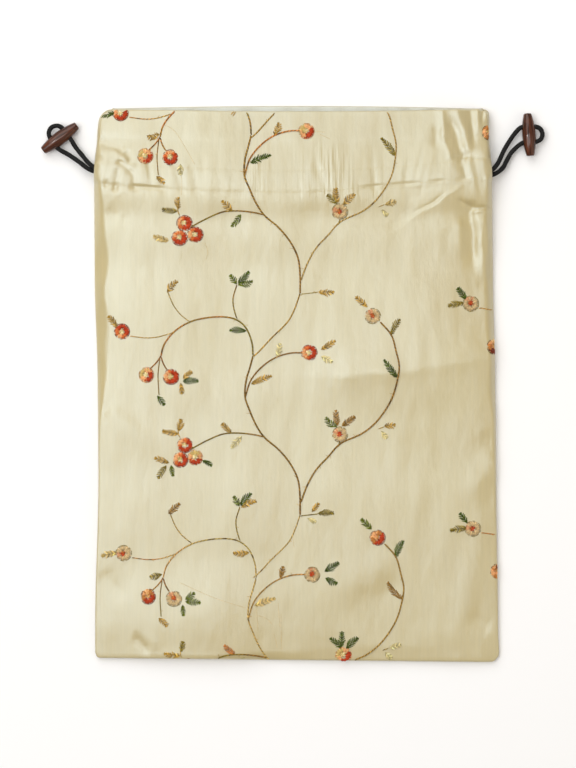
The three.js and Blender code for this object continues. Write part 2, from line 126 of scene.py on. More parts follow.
# Folds of the front: ends, width on the left and on the right of the way from one end to the other,
# rise, the shares of the length over which each end fades, and whether the line is a sharp crease.
SOFT, SHARP = False, True
FOLDS = [
    # from x, y, to x, y, width left, right, rise, fade in, fade out, crease
    ("channel_pull_valley", 97, 122.4, 70, 104.9, 0.8, 0.7, -0.6, 0.25, 0.5, SHARP),
    ("channel_pull_ridge", 106.5, 126.6, 47, 88.2, 5.0, 1.1, 0.7, 0.1, 0.6, SHARP),
    ("pull_hollow", 66, 117, 84, 122, 6, 4, -0.4, 0.4, 0.4, SOFT),
    ("tuck_slant", 101, 117.4, 113, 111.0, 1.3, 0.8, -1.3, 0.3, 0.15, SHARP),
    ("tuck", 110.5, 111.2, 124, 111.0, 0.7, 0.6, -1.6, 0.25, 0.05, SHARP),
    ("tuck_lip", 109, 109.4, 121, 109.6, 1.2, 1.8, 0.8, 0.3, 0.3, SOFT),
    ("side_valley", 110, 117, 112.5, 68, 2.8, 5.0, -2.2, 0.15, 0.4, SOFT),
    ("side_ridge", 102, 108, 104.5, 78, 2.5, 5.0, 0.8, 0.3, 0.4, SOFT),
    ("inner_valley", 94, 100, 96, 80, 2.6, 3.0, -0.3, 0.3, 0.4, SOFT),
    ("side_rib", 117.8, 109, 118.4, 62, 2.4, 3.4, 1.2, 0.12, 0.4, SOFT),
    ("rib_foot", 124, 68, 113, 62, 3.5, 3.5, -0.4, 0.2, 0.4, SOFT),
    ("header_soft_valley", 87, 166, 88.5, 148, 2.6, 2.4, -0.7, 0.3, 0.3, SOFT),
    ("header_rib_inner", 92, 180, 93, 152, 2.0, 2.0, 1.1, 0.3, 0.2, SOFT),
    ("rib_inner_foot", 92.6, 157, 97.2, 142, 1.5, 1.5, 0.8, 0.2, 0.2, SOFT),
    ("header_valley", 96.5, 172, 106, 141, 4.0, 2.8, -1.9, 0.35, 0.1, SOFT),
    ("casing_valley", 103.5, 143, 107.5, 128, 2.0, 2.2, -1.9, 0.15, 0.2, SOFT),
    ("header_rib_outer", 100.5, 178, 110.5, 144, 2.6, 4.2, 1.7, 0.02, 0.2, SOFT),
    ("header_dip", 108.6, 180, 113, 146, 2.0, 1.8, -1.2, 0.02, 0.4, SOFT),
    ("header_side_rib", 113.2, 180, 116, 158, 1.5, 1.7, 1.2, 0.02, 0.35, SOFT),
    ("header_side_dip", 117.2, 180, 118, 164, 1.2, 1.2, -0.9, 0.02, 0.4, SOFT),
    ("header_edge_rib", 119.6, 180, 119.4, 164, 1.2, 1.2, 0.7, 0.02, 0.5, SOFT),
    ("casing_ledge", 97, 143.6, 124, 142.6, 1.4, 0.6, -0.9, 0.15, 0.05, SHARP),
    ("left_wave_upper", -126, 154, -108, 147.5, 2.6, 3.0, -1.15, 0.1, 0.2, SOFT),
    ("left_wave_lower", -109.5, 148.5, -103.5, 139, 2.4, 2.6, -1.15, 0.2, 0.25, SOFT),
    ("left_ridge", -120, 151, -104, 138.5, 2.2, 2.2, 0.9, 0.3, 0.3, SOFT),
    ("left_pull_upper", -114.5, 142, -103.5, 133.5, 1.4, 1.8, -1.25, 0.2, 0.15, SOFT),
    ("left_pull_lower", -104.2, 136, -103, 123, 1.4, 1.8, -1.25, 0.2, 0.2, SOFT),
    ("left_upright", -113.5, 137.5, -114.8, 120, 1.4, 1.5, -1.2, 0.2, 0.2, SOFT),
    ("left_nick", -120.5, 130, -119.5, 123.5, 1.2, 1.2, -0.8, 0.3, 0.3, SOFT),
    ("left_hollow", -124, 146, -124.5, 138, 1.8, 1.8, -0.9, 0.3, 0.3, SOFT),
    ("left_stitch_crease", -108, 124.2, -97, 122.6, 0.8, 1.0, -0.7, 0.3, 0.4, SHARP),
    ("left_under_stitch", -122, 112, -112, 104, 4, 4, -0.4, 0.4, 0.4, SOFT),
    ("pressed_crease", 129, 17.5, 36, 4.8, 32, 34, 3.6, 0.02, 0.5, SHARP),
    ("belly_length", 40, -30, 24, -176, 60, 70, 1.4, 0.3, 0.35, SOFT),
    ("crease_faint_end", 88, 9.5, -34, 3.0, 28, 30, 2.2, 0.35, 0.6, SHARP),
    ("crease_shadow", 70, 8.8, 16, 4.0, 14, 26, 1.3, 0.3, 0.4, SHARP),
    ("left_slant", -121, -13.7, -84, -47.7, 4.5, 12, 1.1, 0.15, 0.7, SOFT),
    ("corner_swell", -60, -178, -64, -108, 44, 40, 3.2, 0.05, 0.6, SOFT),
    ("belly_swell", 20, -138, 66, -108, 16, 12, 1.1, 0.4, 0.4, SOFT),
    ("belly_hollow", 34, -146, 74, -118, 8, 10, -0.7, 0.4, 0.4, SOFT),
    ("right_slant", 128, -46, 106, -78, 6, 10, 0.9, 0.1, 0.5, SOFT),
    ("right_edge_hollow", 126, -40, 118, -30, 4, 5, -0.6, 0.3, 0.4, SOFT),
    ("lower_right_hollow", 127, -60, 118, -84, 5, 6, -0.8, 0.2, 0.5, SOFT),
    ("corner_dent", -104.5, -159, -93, -172, 1.3, 1.6, -1.1, 0.25, 0.3, SOFT),
    ("corner_dent_ridge", -100, -157, -87, -169, 2.0, 2.0, 0.3, 0.3, 0.3, SOFT),
    ("left_low_wave", -124, -118, -108, -140, 5, 7, -0.7, 0.2, 0.5, SOFT),
    ("base_wave", 20, -166, 100, -168, 5, 6, 0.5, 0.4, 0.4, SOFT),
    ("right_corner_wave", 108, -146, 124, -156, 4, 5, -0.7, 0.3, 0.2, SOFT),
]
FOLD_CLEAR, FOLD_FULL = 5.0, 8.0
FOLD_IN_CHANNEL = 0.55
# A fold's line wanders this far, a crease has a rounded crest, and a soft fold falls off this fast, up
# to a limit that keeps its curve in range.
FOLD_WANDER = 0.32
CREASE_CREST = 0.3
SOFT_FALL, FURTHEST = 1.4, 30

# Random waves: seed, count, shortest and longest.
WANDER_ACROSS, WANDER_UP = (3, 5, 14, 40), (4, 5, 14, 40)
ROLL_WAVES = {"left": (7, 5, 24, 80), "right": (8, 5, 24, 80)}
GATHER_WAVES, DRAWN_WAVES = (11, 6, 30, 90), (14, 8, 4, 16)
LOWER_RIPPLES, UPPER_RIPPLES = (12, 11, 3.6, 11), (13, 11, 3.6, 11)
SOFT_CRUMPLE, FINE_CRUMPLE = (21, 9, 38, 110), (22, 12, 9, 24)
BACK_RIPPLES = (31, 8, 8, 30)

# Routes of the cords: out of the seam, round the toggle and in again, then through the front's channel
# to the other side. The way back through the back's channel is that run mirrored about a height.
CORD_MIRROR = 8.0
LEFT_LOOP = [
    (-117.0, 135.6, 2.8), (-121.5, 135.6, 2.9), (-125.2, 135.4, 4.6), (-128.9, 135.3, 6.6),
    (-133.0, 137.0, 6.4), (-138.5, 141.2, 4.6), (-145.0, 145.7, 3.8), (-152.1, 149.9, 4.45),
    (-154.8, 153.5, 4.45), (-157.0, 156.4, 4.45), (-157.9, 160.1, 4.45), (-155.9, 163.4, 4.45),
    (-152.2, 164.3, 4.45), (-148.9, 162.4, 4.45), (-146.8, 159.5, 4.45), (-144.1, 155.9, 4.45),
    (-140.8, 150.6, 4.0), (-136.4, 145.2, 4.9), (-132.6, 140.6, 7.0), (-128.9, 137.7, 9.4),
    (-125.0, 136.2, 11.6), (-121.3, 135.6, 13.0), (-116.5, 135.5, 13.2),
]
LEFT_RUN = [
    (-90, 133.1, 13.2), (-45, 130.8, 13.2), (45, 131.5, 13.2), (90, 134.6, 13.2), (115.9, 137.1, 13.2),
    (118.5, 137.4, 12.5), (120.4, 137.6, 10.65), (121.1, 137.6, 8.0),
]
LEFT_END = (-116.5, 135.4, 2.8)
RIGHT_LOOP = [
    (112.0, 132.7, 2.8), (116.5, 132.9, 2.9), (120.2, 132.8, 4.6), (123.9, 132.9, 6.6),
    (127.6, 134.6, 6.3), (131.0, 137.6, 5.0), (133.8, 142.8, 3.9), (137.0, 147.9, 3.7),
    (143.5, 153.3, 4.45), (147.9, 153.6, 4.45), (151.5, 153.9, 4.45), (155.0, 155.6, 4.45),
    (156.2, 159.2, 4.45), (154.5, 162.6, 4.45), (150.8, 163.8, 4.45), (147.3, 163.6, 4.45),
    (142.8, 163.3, 4.45), (139.6, 160.6, 4.1), (132.6, 150.3, 4.4), (127.4, 139.9, 7.4),
    (123.9, 135.9, 9.4), (120.2, 133.9, 11.5), (116.4, 133.1, 13.0), (111.5, 132.6, 13.2),
]
RIGHT_RUN = [
    (90, 130.6, 13.2), (45, 127.5, 13.2), (-45, 126.8, 13.2), (-90, 129.1, 13.2), (-120.9, 131.7, 13.2),
    (-123.5, 132.0, 12.5), (-125.4, 132.1, 10.65), (-126.1, 132.2, 8.0),
]
RIGHT_END = (111.5, 132.6, 2.8)
LEFT_TOGGLE = (-150.8, 156.5, -53.4)
RIGHT_TOGGLE = (147.6, 158.6, 4.0)

# Colours, as sRGB.
SILK_DEEP, SILK_PALE = (189, 166, 108), (199, 180, 124)
LINING = (198, 187, 154)
# Linear colours: the two shades of the cord, and places in the grain with the shades of the wood.
CORD_SHADES = ((0.0025, 0.0025, 0.0025, 1), (0.009, 0.0085, 0.008, 1))
WOOD_SHADES = ((0.3, (0.016, 0.006, 0.003, 1)), (0.72, (0.13, 0.036, 0.014, 1)))
# From the channel up the cloth lies two layers thick under its turned-in hem; there its colour is tinted a
# little cooler, a painted cool sheen of the gathered channel.
SHEEN_BAND_FROM, SHEEN_BAND_TO = 119.0, 132.0
PAINTED_SHEEN_TINT = (1.0, 1.03, 1.16)
THREADS = {
    "brown": (150, 114, 54), "dark": (98, 74, 42), "olive": (136, 118, 46), "rust": (190, 124, 64),
    "red": (180, 64, 32), "orange": (210, 112, 58), "coral": (228, 168, 114), "cream": (236, 220, 174),
    "gold": (178, 142, 64), "green": (102, 110, 36), "forest": (74, 88, 26), "pale": (212, 198, 142),
    "wine": (118, 48, 26), "straw": (202, 174, 106), "bark": (150, 118, 52), "clay": (186, 122, 60),
    "sand": (200, 174, 128), "salmon": (204, 148, 106),
}
# One repeat of the vine, in photograph pixels. It comes again up the cloth, where the gathered channel
# takes up a little of it, and in a second column at the right.
REPEATS = ((0.0, -441.0, 0.0), (0.0, -221.5, 0.0), (0.0, 0.0, 0.0), (1.9, 221.8, 0.012))
STRETCH_FROM = 150.0
COLUMN_STEPS = ((343.0, -22.0), (348.0, -20.4), (348.8, -28.0), (349.6, -25.0))
GATHER_TAKES, GATHER_FROM, GATHER_TO = 3.2, 165.0, 200.0
EVEN_FROM, EVEN_TO = 180.0, 310.0
HEADER_NARROWS, NARROWS_ABOUT, NARROWS_FROM, NARROWS_TO = 0.0118, 100.0, 135.0, 195.0
VINES = [
    # name, start colour, end colour, width, how far it fades to straw (or darkens, below 0) in the upper,
    # middle and lower repeat and in the column at the right, points
    ("meander", "bark", "brown", 1.2, (0, -0.24, 0.7, 0.3), [
        (253, 356), (250, 367), (246, 381), (245, 397), (249, 409), (256, 425),
        (264, 437), (279, 450), (291, 465), (298, 480), (300, 497), (300, 515)]),
    ("meander_tail", "bark", "gold", 1.0, (0.1, 0.65, 0.3, 0.3), [
        (300, 515), (294, 532), (288, 543), (271, 560), (258, 574), (253, 578)]),
    ("left_arc", "olive", "clay", 1.1, (0, 0, 0.55, 0.3), [
        (253, 356), (252, 343), (246, 328), (237, 320), (225, 317),
        (206, 318), (190, 322), (174, 332), (164, 345), (161, 356)]),
    ("fork_left", "clay", "brown", 0.95, (-0.1, -0.4, 0.2, 0.2), [
        (161, 356), (157, 362), (150, 369)]),
    ("fork_right", "clay", "brown", 0.95, (0, -0.4, -0.3, 0.2), [
        (161, 356), (163, 363), (167, 370)]),
    ("fork_stem", "brown", "olive", 0.7, (0, -0.1, 0, 0), [(160, 358), (158, 375), (159, 395)]),
    ("twig_up_left", "gold", "olive", 0.75, (0, 0.4, 0.25, 0), [
        (190, 322), (181, 315), (174, 306), (168, 292)]),
    ("twig_up", "olive", "brown", 0.85, (0, 0, 0.25, 0), [
        (237, 319), (234, 309), (233, 299), (237, 285)]),
    ("side_stem", "gold", "clay", 0.7, (0, 0.25, 0.15, 0), [
        (172, 333), (158, 337), (146, 338), (130, 336)]),
    ("trio_arc", "brown", "olive", 1.0, (0, -0.1, -0.1, 0), [
        (264, 437), (256, 435), (239, 433), (223, 434), (208, 440), (191, 449)]),
    ("trio_bud_stem", "gold", "gold", 0.7, (0, 0, 0.3, 0), [(180, 438), (178, 432), (179, 424)]),
    ("right_arc", "brown", "clay", 1.05, (0, -0.25, 0.3, 0.2), [
        (245, 398), (251, 380), (263, 366), (277, 357), (292, 353), (303, 353)]),
    ("right_vine", "bark", "brown", 1.15, (0.5, -0.05, 0.2, 0.2), [
        (301, 502), (307, 486), (316, 470), (328, 457), (340, 444), (363, 433), (377, 421),
        (391, 400), (397, 381), (399, 366), (396, 352), (391, 335), (380, 322)]),
    ("vine_berry_stem", "olive", "brown", 0.8, (0, -0.15, 0.1, 0), [(338, 447), (340, 441)]),
    ("right_twig", "gold", "olive", 0.6, (0.4, 0, 0.1, 0), [(378, 429), (384, 427)]),
    ("bulge_twig", "olive", "olive", 0.7, (0.4, -0.05, 0.2, 0), [(300, 516), (309, 515), (318, 514)]),
]
LEAVES = [
    # base, tip, thread in the upper, middle and lower repeat, and in the column at the right
    ((157, 396), (165, 405), ("gold", "forest", "gold", "green")),
    ((160, 353), (148, 355), ("gold", None, "olive", None)),
    ((183, 378), (192, 371), (None, "gold", "green", None)),
    ((183, 381), (198, 381), (None, "forest", "green", None)),
    ((181, 383), (182, 394), ("pale", "gold", "green", None)),
    ((246, 331), (230, 331), ("gold", "forest", "gold", None)),
    ((167, 292), (178, 281), ("gold", "gold", "brown", None)),
    ((237, 285), (231, 274), ("green", "green", "green", None)),
    ((238, 284), (249, 272), ("forest", "forest", "forest", None)),
    ((238, 285), (253, 280), ("gold", "green", "gold", None)),
    ((117, 327), (108, 316), (None, "gold", None, "forest")),
    ((115, 331), (99, 334), ("forest", None, "straw", "olive")),
    ((232, 433), (222, 423), ("gold", "gold", "rust", None)),
    ((242, 436), (231, 448), ("green", "pale", "pale", None)),
    ((179, 431), (180, 419), ("gold", "gold", "olive", None)),
    ((178, 434), (162, 431), ("olive", "gold", "gold", None)),
    ((169, 463), (154, 458), ("straw", "gold", "gold", None)),
    ((167, 466), (158, 478), (None, "olive", "green", None)),
    ((170, 465), (173, 476), (None, "green", "forest", None)),
    ((202, 460), (212, 466), (None, "forest", "green", None)),
    ((251, 384), (272, 377), ("forest", "gold", "straw", None)),
    ((277, 357), (280, 344), ("gold", "pale", "brown", None)),
    ((321, 350), (335, 341), (None, "gold", "forest", None)),
    ((321, 356), (333, 361), (None, "pale", "forest", None)),
    ((367, 307), (356, 297), ("green", "gold", "green", None)),
    ((391, 335), (399, 320), ("green", "olive", "forest", None)),
    ((397, 378), (384, 360), ("olive", "forest", "brown", None)),
    ((337, 427), (326, 417), ("olive", "green", "forest", None)),
    ((338, 426), (337, 410), ("gold", "brown", "forest", None)),
    ((342, 427), (355, 417), ("gold", "brown", "forest", None)),
    ((384, 427), (396, 424), ("straw", "gold", "pale", None)),
    ((381, 431), (387, 438), ("pale", "pale", "pale", None)),
    ((318, 514), (334, 514), ("gold", "olive", "green", None)),
    ((312, 512), (319, 503), (None, "gold", "gold", None)),
    ((308, 518), (316, 522), (None, "pale", "pale", None)),
]
BERRIES = [
    # centre, and kind in the upper, middle and lower repeat, and in the column at the right
    ((146, 375), ("blush", "blush", "red", "edge")),
    ((171, 377), ("ripe", "ripe", "open", "ripe")),
    ((122, 332), ("ripe", "ripe", "open", "open")),
    ((185, 445), ("ripe", "ripe", "ripe", "ripe")),
    ((180, 460), ("ripe", "ripe", "ripe", "ripe")),
    ((195, 457), ("ripe", "blush", "ripe", "ripe")),
    ((309, 353), ("blush", "ripe", "open", "ripe")),
    ((373, 316), ("open", "open", "red", "ripe")),
    ((340, 434), ("open", "open", "blush", "ripe")),
]
BERRY_KINDS = {
    # threads of the side in painted shade, between, and of the side in painted highlight, where they change
    # (0 to 1), outline, middle
    "ripe": ("red", "orange", "coral", (0.58, 0.9), "wine", ("pale", "straw", "cream")),
    "red": ("red", "rust", "coral", (0.45, 0.92), "wine", ("rust", "straw", "coral")),
    "blush": ("red", "coral", "straw", (0.3, 0.82), "rust", ("straw", "pale", "cream")),
    "open": ("sand", "sand", "salmon", (0.55, 0.9), "olive", ("red", "red", "rust")),
    # Berries on the right side's roll: darker threads, partly their own and partly painted shade where the
    # roll turns from the light.
    "edge": ("wine", "rust", "coral", (0.5, 0.9), "dark", ("coral", "rust", "straw")),
}
BERRY_RADIUS = 5.0
PLACE_WANDER = 0.25
CHANNEL_THREAD, JUMP_THREAD = (204, 190, 146), (214, 190, 140)
VINE_SEED, LEAF_SEED, BERRY_SEED, CHANNEL_SEED, JUMP_SEED = 41, 42, 43, 44, 45
JUMP_THREADS = [
    [(164, 125), (174, 131), (187, 151), (195, 165)],
    [(178, 165), (182, 179), (182, 196)],
    [(294, 526), (293, 536), (294, 547)],
    [(180, 583), (212, 597), (245, 608)],
    [(205, 243), (208, 252), (206, 260)],
    [(316, 132), (320, 132.5), (325, 133)],
    [(319, 135), (324, 137), (330, 140)],
    [(257, 604), (257, 618), (258, 630)],
    [(278, 603), (279, 616), (280, 628)],
    [(258, 616), (265, 618), (272, 624)],
    [(281, 614), (281, 632), (282, 650)],
    [(274, 634), (276, 642), (277, 648)],
]


# The shape of the two silk panels.

def ramp(value, low, high):
    """0 up to low, 1 from high on, and smooth between."""
    share = np.clip((value - low) / (high - low), 0.0, 1.0)
    return share * share * (3 - 2 * share)


def channel_swell(row):
    """How full the drawcord channel stands: 1 along its middle, 0 from its stitch rows on."""
    off = np.clip(np.abs(row - CHANNEL_MIDDLE) / (CHANNEL_HEIGHT / 2), 0, 1)
    return (1 - off ** CHANNEL_FULLNESS) ** (1 / CHANNEL_FULLNESS)


def corner_inset(run, radius):
    """How far a round corner draws the seam in, at a run up or down from the corner's end."""
    run = np.clip(run, 0, radius)
    return radius - np.sqrt(radius ** 2 - (radius - run) ** 2)


def section_at(row):
    """The values of the cross-section at a row, blended between the rows of the table."""
    heights = SECTIONS[:, 0]
    k = np.clip(np.searchsorted(heights, row, side="right") - 1, 0, len(heights) - 2)
    blend = ramp(row, heights[k], heights[k + 1])
    at = {}
    for number, column in enumerate(SECTION_COLUMNS):
        values = SECTIONS[:, number]
        at[column] = values[k] + (values[k + 1] - values[k]) * blend
    swell = channel_swell(row)
    at["swell"] = swell
    at["seam"] = at["seam"] + CHANNEL_SEAM_RISE * swell
    at["crown"] = at["crown"] + CHANNEL_SWELL * swell
    at["wall"] = at["wall"] + (CHANNEL_WALL - STITCHED_WALL) * swell
    least_roll = LEAST_ROLL + CHANNEL_ROLL * swell
    corners = zip(("left", "right"), (1, -1), BASE_CORNERS, MOUTH_CORNERS)
    for side, inwards, base_corner, mouth_corner in corners:
        inset = corner_inset(row - BASE, base_corner) + corner_inset(MOUTH - row, mouth_corner)
        at[side] = at[side] + inwards * inset
        wander = 1 + ROLL_WANDER * waves(row, 0, *ROLL_WAVES[side])
        at["roll_" + side] = np.maximum(at["roll_" + side] * wander, least_roll)
    return at


def across_share(x, section):
    """-1 at the left seam, 1 at the right one."""
    return np.clip(2 * (x - section["left"]) / (section["right"] - section["left"]) - 1, -1, 1)


def row_shift(row, x, section):
    """How far a row lies above or below its place at the sides."""
    across = across_share(x, section)
    tilt = CHANNEL_TILT * ramp(row, SHOULDER, LOWER_STITCH) * (1 - ramp(row, UPPER_STITCH, MOUTH))
    slope = -BASE_TILT * (1 - ramp(row, BASE, BASE + BASE_TILT_RUN))
    return (tilt + slope) * across - section["sag"] * (1 - across ** 2)


def waves(x, y, seed, count, shortest, longest):
    """A smooth random surface of about unit height: a sum of slanting waves."""
    draw = np.random.default_rng(seed)
    total = 0
    for _ in range(count):
        length = math.exp(draw.uniform(math.log(shortest), math.log(longest)))
        angle, phase = draw.uniform(0, 2 * math.pi, 2)
        total = total + np.sin((x * math.cos(angle) + y * math.sin(angle)) * 2 * math.pi / length + phase)
    return total / math.sqrt(count / 2)


def fold_height(x, y, row):
    """The height that the folds of the table add."""
    wander_x = x + FOLD_WANDER * waves(x, y, *WANDER_ACROSS)
    wander_y = y + FOLD_WANDER * waves(x, y, *WANDER_UP)
    height = np.zeros_like(wander_x)
    for _, x0, y0, x1, y1, width_left, width_right, rise, fade_in, fade_out, crease in FOLDS:
        length = math.hypot(x1 - x0, y1 - y0)
        ux, uy = (x1 - x0) / length, (y1 - y0) / length
        along = ((wander_x - x0) * ux + (wander_y - y0) * uy) / length
        off = (wander_y - y0) * ux - (wander_x - x0) * uy
        width = np.where(off > 0, width_left, width_right)
        fade = ramp(along, 0, fade_in) * (1 - ramp(along, 1 - fade_out, 1))
        if crease:
            rounded = np.sqrt(off ** 2 + CREASE_CREST ** 2) - CREASE_CREST
            height += rise * fade * np.exp(-rounded / width)
        else:
            height += rise * fade / np.cosh(np.minimum(SOFT_FALL * np.abs(off) / width, FURTHEST))
    clear = ramp(np.abs(row - CHANNEL_MIDDLE), FOLD_CLEAR, FOLD_FULL)
    return height * (FOLD_IN_CHANNEL + (1 - FOLD_IN_CHANNEL) * clear)


def drawn_in(x, start, stop, blend):
    """1 along a stretch of a stitch row that is drawn in tight, and 0 away from it."""
    return ramp(x, start - blend, start) * (1 - ramp(x, stop, stop + blend))


def stitch_climb(x):
    """How far the lower stitch row climbs above its line at the right."""
    return STITCH_CLIMB * ramp(x, CLIMB_FROM, CLIMB_TO)


def pucker_height(x, row):
    """Small gathers along the two stitch rows of the channel, running out into the cloth above and below,
    and the grooves along the rows, deep where the lower one is drawn in."""
    gathered = 0.6 + 0.4 * waves(x, 0 * x, *GATHER_WAVES)
    height = 0
    lower = LOWER_STITCH + stitch_climb(x)
    for stitch, ripples in ((lower, LOWER_RIPPLES), (UPPER_STITCH, UPPER_RIPPLES)):
        off = row - stitch
        leaning = x + RIPPLE_LEAN * off * np.sin(x / RIPPLE_SWAY)
        ripple = waves(leaning, 0 * x, *ripples)
        reach = np.where(np.abs(row - CHANNEL_MIDDLE) < CHANNEL_HEIGHT / 2, *RIPPLE_REACH)
        height = height + RIPPLE_RISE * gathered * ripple * np.exp(-np.abs(off) / reach)
    uneven = 0.72 + 0.3 * waves(x, 0 * x, *DRAWN_WAVES)
    drawn = LOWER_GROOVE * gathered
    drawn = drawn + uneven * (drawn_in(x, *DRAWN_AT_LEFT) + drawn_in(x, *DRAWN_AT_RIGHT))
    height = height - drawn * np.exp(-((row - lower) / LOWER_GROOVE_WIDTH) ** 2)
    return height - UPPER_GROOVE * gathered * np.exp(-((row - UPPER_STITCH) / UPPER_GROOVE_WIDTH) ** 2)


def crumple_height(x, y):
    """The slight unevenness of pressed silk, drawn out up and down the cloth."""
    soft = 0.3 * waves(x, y * 0.6, *SOFT_CRUMPLE)
    fine = 0.06 * waves(x, y * 0.3, *FINE_CRUMPLE)
    return soft + fine


def rolled(share, square):
    """Height round an edge: 0 at the seam and 1 where the roll meets the flat of the cloth."""
    return (1 - (1 - share) ** square) ** (1 / square)


def roll_shares(x, section, depth):
    """The shares of the way round the roll of each side, from its seam."""
    runs_in = (x - section["left"] - depth, section["right"] - depth - x)
    rolls = (section["roll_left"], section["roll_right"])
    return [np.clip(run / np.maximum(roll - depth, THIN_ROLL), 0, 1) for run, roll in zip(runs_in, rolls)]


def slit_opening(section, depth):
    """How far the outer face stands off its seam at the slits of the channel."""
    return np.where(depth < OUTER_DEPTH, SLIT_LIFT * section["swell"], 0)


def hem_bulge(rows, section):
    """How far the fold of the mouth stands above its row, where the cloth turns in."""
    return 0.5 * section["wall"] * np.sin(rows[:, 1:] * math.pi) * (rows[:, :1] >= MOUTH)


def front_height(x, row, y, section, depth=0.0):
    """Height of the front panel over the table, at a depth under its outer face."""
    from_left, from_right = roll_shares(x, section, depth)
    from_base = np.clip((row - BASE) / BASE_ROUND, 0, 1)
    lift = rolled(from_left, section["square_left"]) * rolled(from_right, section["square_right"])
    lift = lift * rolled(from_base, 2.0)
    pillow = 1.0
    for run in (x - section["left"], section["right"] - x):
        pillow = pillow * (1 - (1 - np.clip(run / PILLOW_WIDTH, 0, 1)) ** 2)
    pressed = 1 - ramp(row, SHOULDER, LOWER_STITCH) + ramp(row, UPPER_STITCH, HEADER)
    swollen = 1 - PILLOW_SHARE * (1 - pillow) * pressed
    details = fold_height(x, y, row) + pucker_height(x, row) + crumple_height(x, y)
    edge = section["seam"] + SEAM_GAP / 2 + slit_opening(section, depth)
    return edge + (section["crown"] * swollen - depth - edge) * lift + details * lift


def surface(x, y):
    """Height of the front panel's outer face over any place on it."""
    x, y = np.asarray(x, float), np.asarray(y, float)
    row = np.clip(y, BASE, MOUTH)
    for _ in range(ROW_STEPS):
        section = section_at(row)
        row = np.clip(y - row_shift(row, x, section), BASE, MOUTH)
    return front_height(x, row, y, section_at(row))


def inside(x, y, margin):
    """Whether places lie on the front panel, that far from its seams and up to the fold of its mouth."""
    row = np.clip(y, BASE, MOUTH)
    for _ in range(ROW_STEPS):
        section = section_at(row)
        row = y - row_shift(row, x, section)
    section = section_at(np.clip(row, BASE, MOUTH))
    across = (x > section["left"] + margin) & (x < section["right"] - margin)
    return across & (row > BASE + margin) & (row < MOUTH + MOUTH_REACH)


def runs(stations, spacings):
    """Places from the first station to the last, at one spacing between each two stations."""
    places = [np.array(stations[:1], float)]
    for start, stop, spacing in zip(stations[:-1], stations[1:], spacings):
        places.append(np.linspace(start, stop, max(round((stop - start) / spacing), 1) + 1)[1:])
    return np.concatenate(places)


def panel_rows(low_spacing, high_spacing):
    """Rows of a panel from the base over the mouth into the hem: place up the pouch, and share of the
    wall's depth."""
    roll_steps, corner, corner_steps, turn_steps = 8, 8.0, 9, 6
    quarter = math.pi / 2
    rows = [(BASE + BASE_ROUND * (1 - math.cos(i / roll_steps * quarter)), 0.0) for i in range(roll_steps)]
    stations = (BASE + BASE_ROUND, SHOULDER - 10, MOUTH - corner)
    rows += [(y, 0.0) for y in runs(stations, (low_spacing, high_spacing))]
    bends = [math.sin(i / corner_steps * quarter) for i in range(1, corner_steps)]
    rows += [(MOUTH - corner * (1 - bend), 0.0) for bend in bends]
    rows += [(MOUTH, 0.5 - 0.5 * math.cos(i / turn_steps * math.pi)) for i in range(turn_steps + 1)]
    rows += [(y, 1.0) for y in runs((LOWER_STITCH - HEM_TURN, MOUTH - 0.9), (low_spacing,))[::-1]]
    return np.array(rows)


def panel_columns(section, depth, middle, roll_columns):
    """Places across a panel: steps round the roll of each side, and the given shares of the way between."""
    left, right = section["left"] + depth, section["right"] - depth
    roll_left = np.maximum(section["roll_left"] - depth, THIN_ROLL)
    roll_right = np.maximum(section["roll_right"] - depth, THIN_ROLL)
    turn = 1 - np.cos(np.arange(roll_columns) / roll_columns * math.pi / 2)
    across = (left + roll_left) * (1 - middle) + (right - roll_right) * middle
    return np.hstack([left + roll_left * turn, across, (right - roll_right * turn)[:, ::-1]])


def front_points(rows, middle, roll_columns):
    """The grid of places of the front panel."""
    row = rows[:, :1]
    section = section_at(row)
    depth = section["wall"] * rows[:, 1:]
    x = panel_columns(section, depth, middle, roll_columns)
    y = row + row_shift(row, x, section) + depth * (1 - np.clip((row - BASE) / BASE_ROUND, 0, 1))
    z = front_height(x, np.broadcast_to(row, x.shape), y, section, depth)
    return np.stack([x, y + hem_bulge(rows, section), z], axis=-1)


def back_points(rows, middle, roll_columns):
    """The grid of places of the back panel, which lies on the table."""
    row = rows[:, :1]
    section = section_at(row)
    round_roll = np.maximum(BACK_ROUND, LEAST_ROLL + BACK_CHANNEL_ROLL * section["swell"])
    section["roll_left"] = section["roll_right"] = round_roll
    depth = section["wall"] * rows[:, 1:]
    x = panel_columns(section, depth, middle, roll_columns)
    from_base = np.clip((row - BASE) / BACK_ROUND, 0, 1)
    lift = 1.0
    for share in (*roll_shares(x, section, depth), from_base):
        lift = lift * np.sqrt(1 - (1 - share) ** 2)
    across = across_share(x, section)
    lip = (BACK_LIP + BACK_LIP_ARCH * (1 - across ** 2)) * ramp(row, UPPER_STITCH, MOUTH)
    y = row + row_shift(row, x, section) + lip
    edge = section["seam"] - SEAM_GAP / 2 - slit_opening(section, depth)
    ripple = 0.25 * (1 + waves(x, 0 * x, *BACK_RIPPLES)) * ramp(row, LOWER_STITCH - 10, LOWER_STITCH)
    z = edge + (depth - edge) * lift + ripple * rows[:, 1:] * lift
    return np.stack([x, y + hem_bulge(rows, section), z], axis=-1)


# Making meshes.

def deselect():
    bpy.ops.object.select_all(action="DESELECT")


def adopt(piece, material, slot, *replaced):
    """Gives a piece its material, its body and the solids that it stands for."""
    piece.data.materials.clear()
    piece.data.materials.append(material)
    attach(piece, "root")
    if replaced:
        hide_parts(*replaced)
    return piece


def link(name, mesh):
    """A new piece of the scene, made of a mesh with smooth faces."""
    mesh.shade_smooth()
    piece = bpy.data.objects.new(name, mesh)
    bpy.context.scene.collection.objects.link(piece)
    return piece


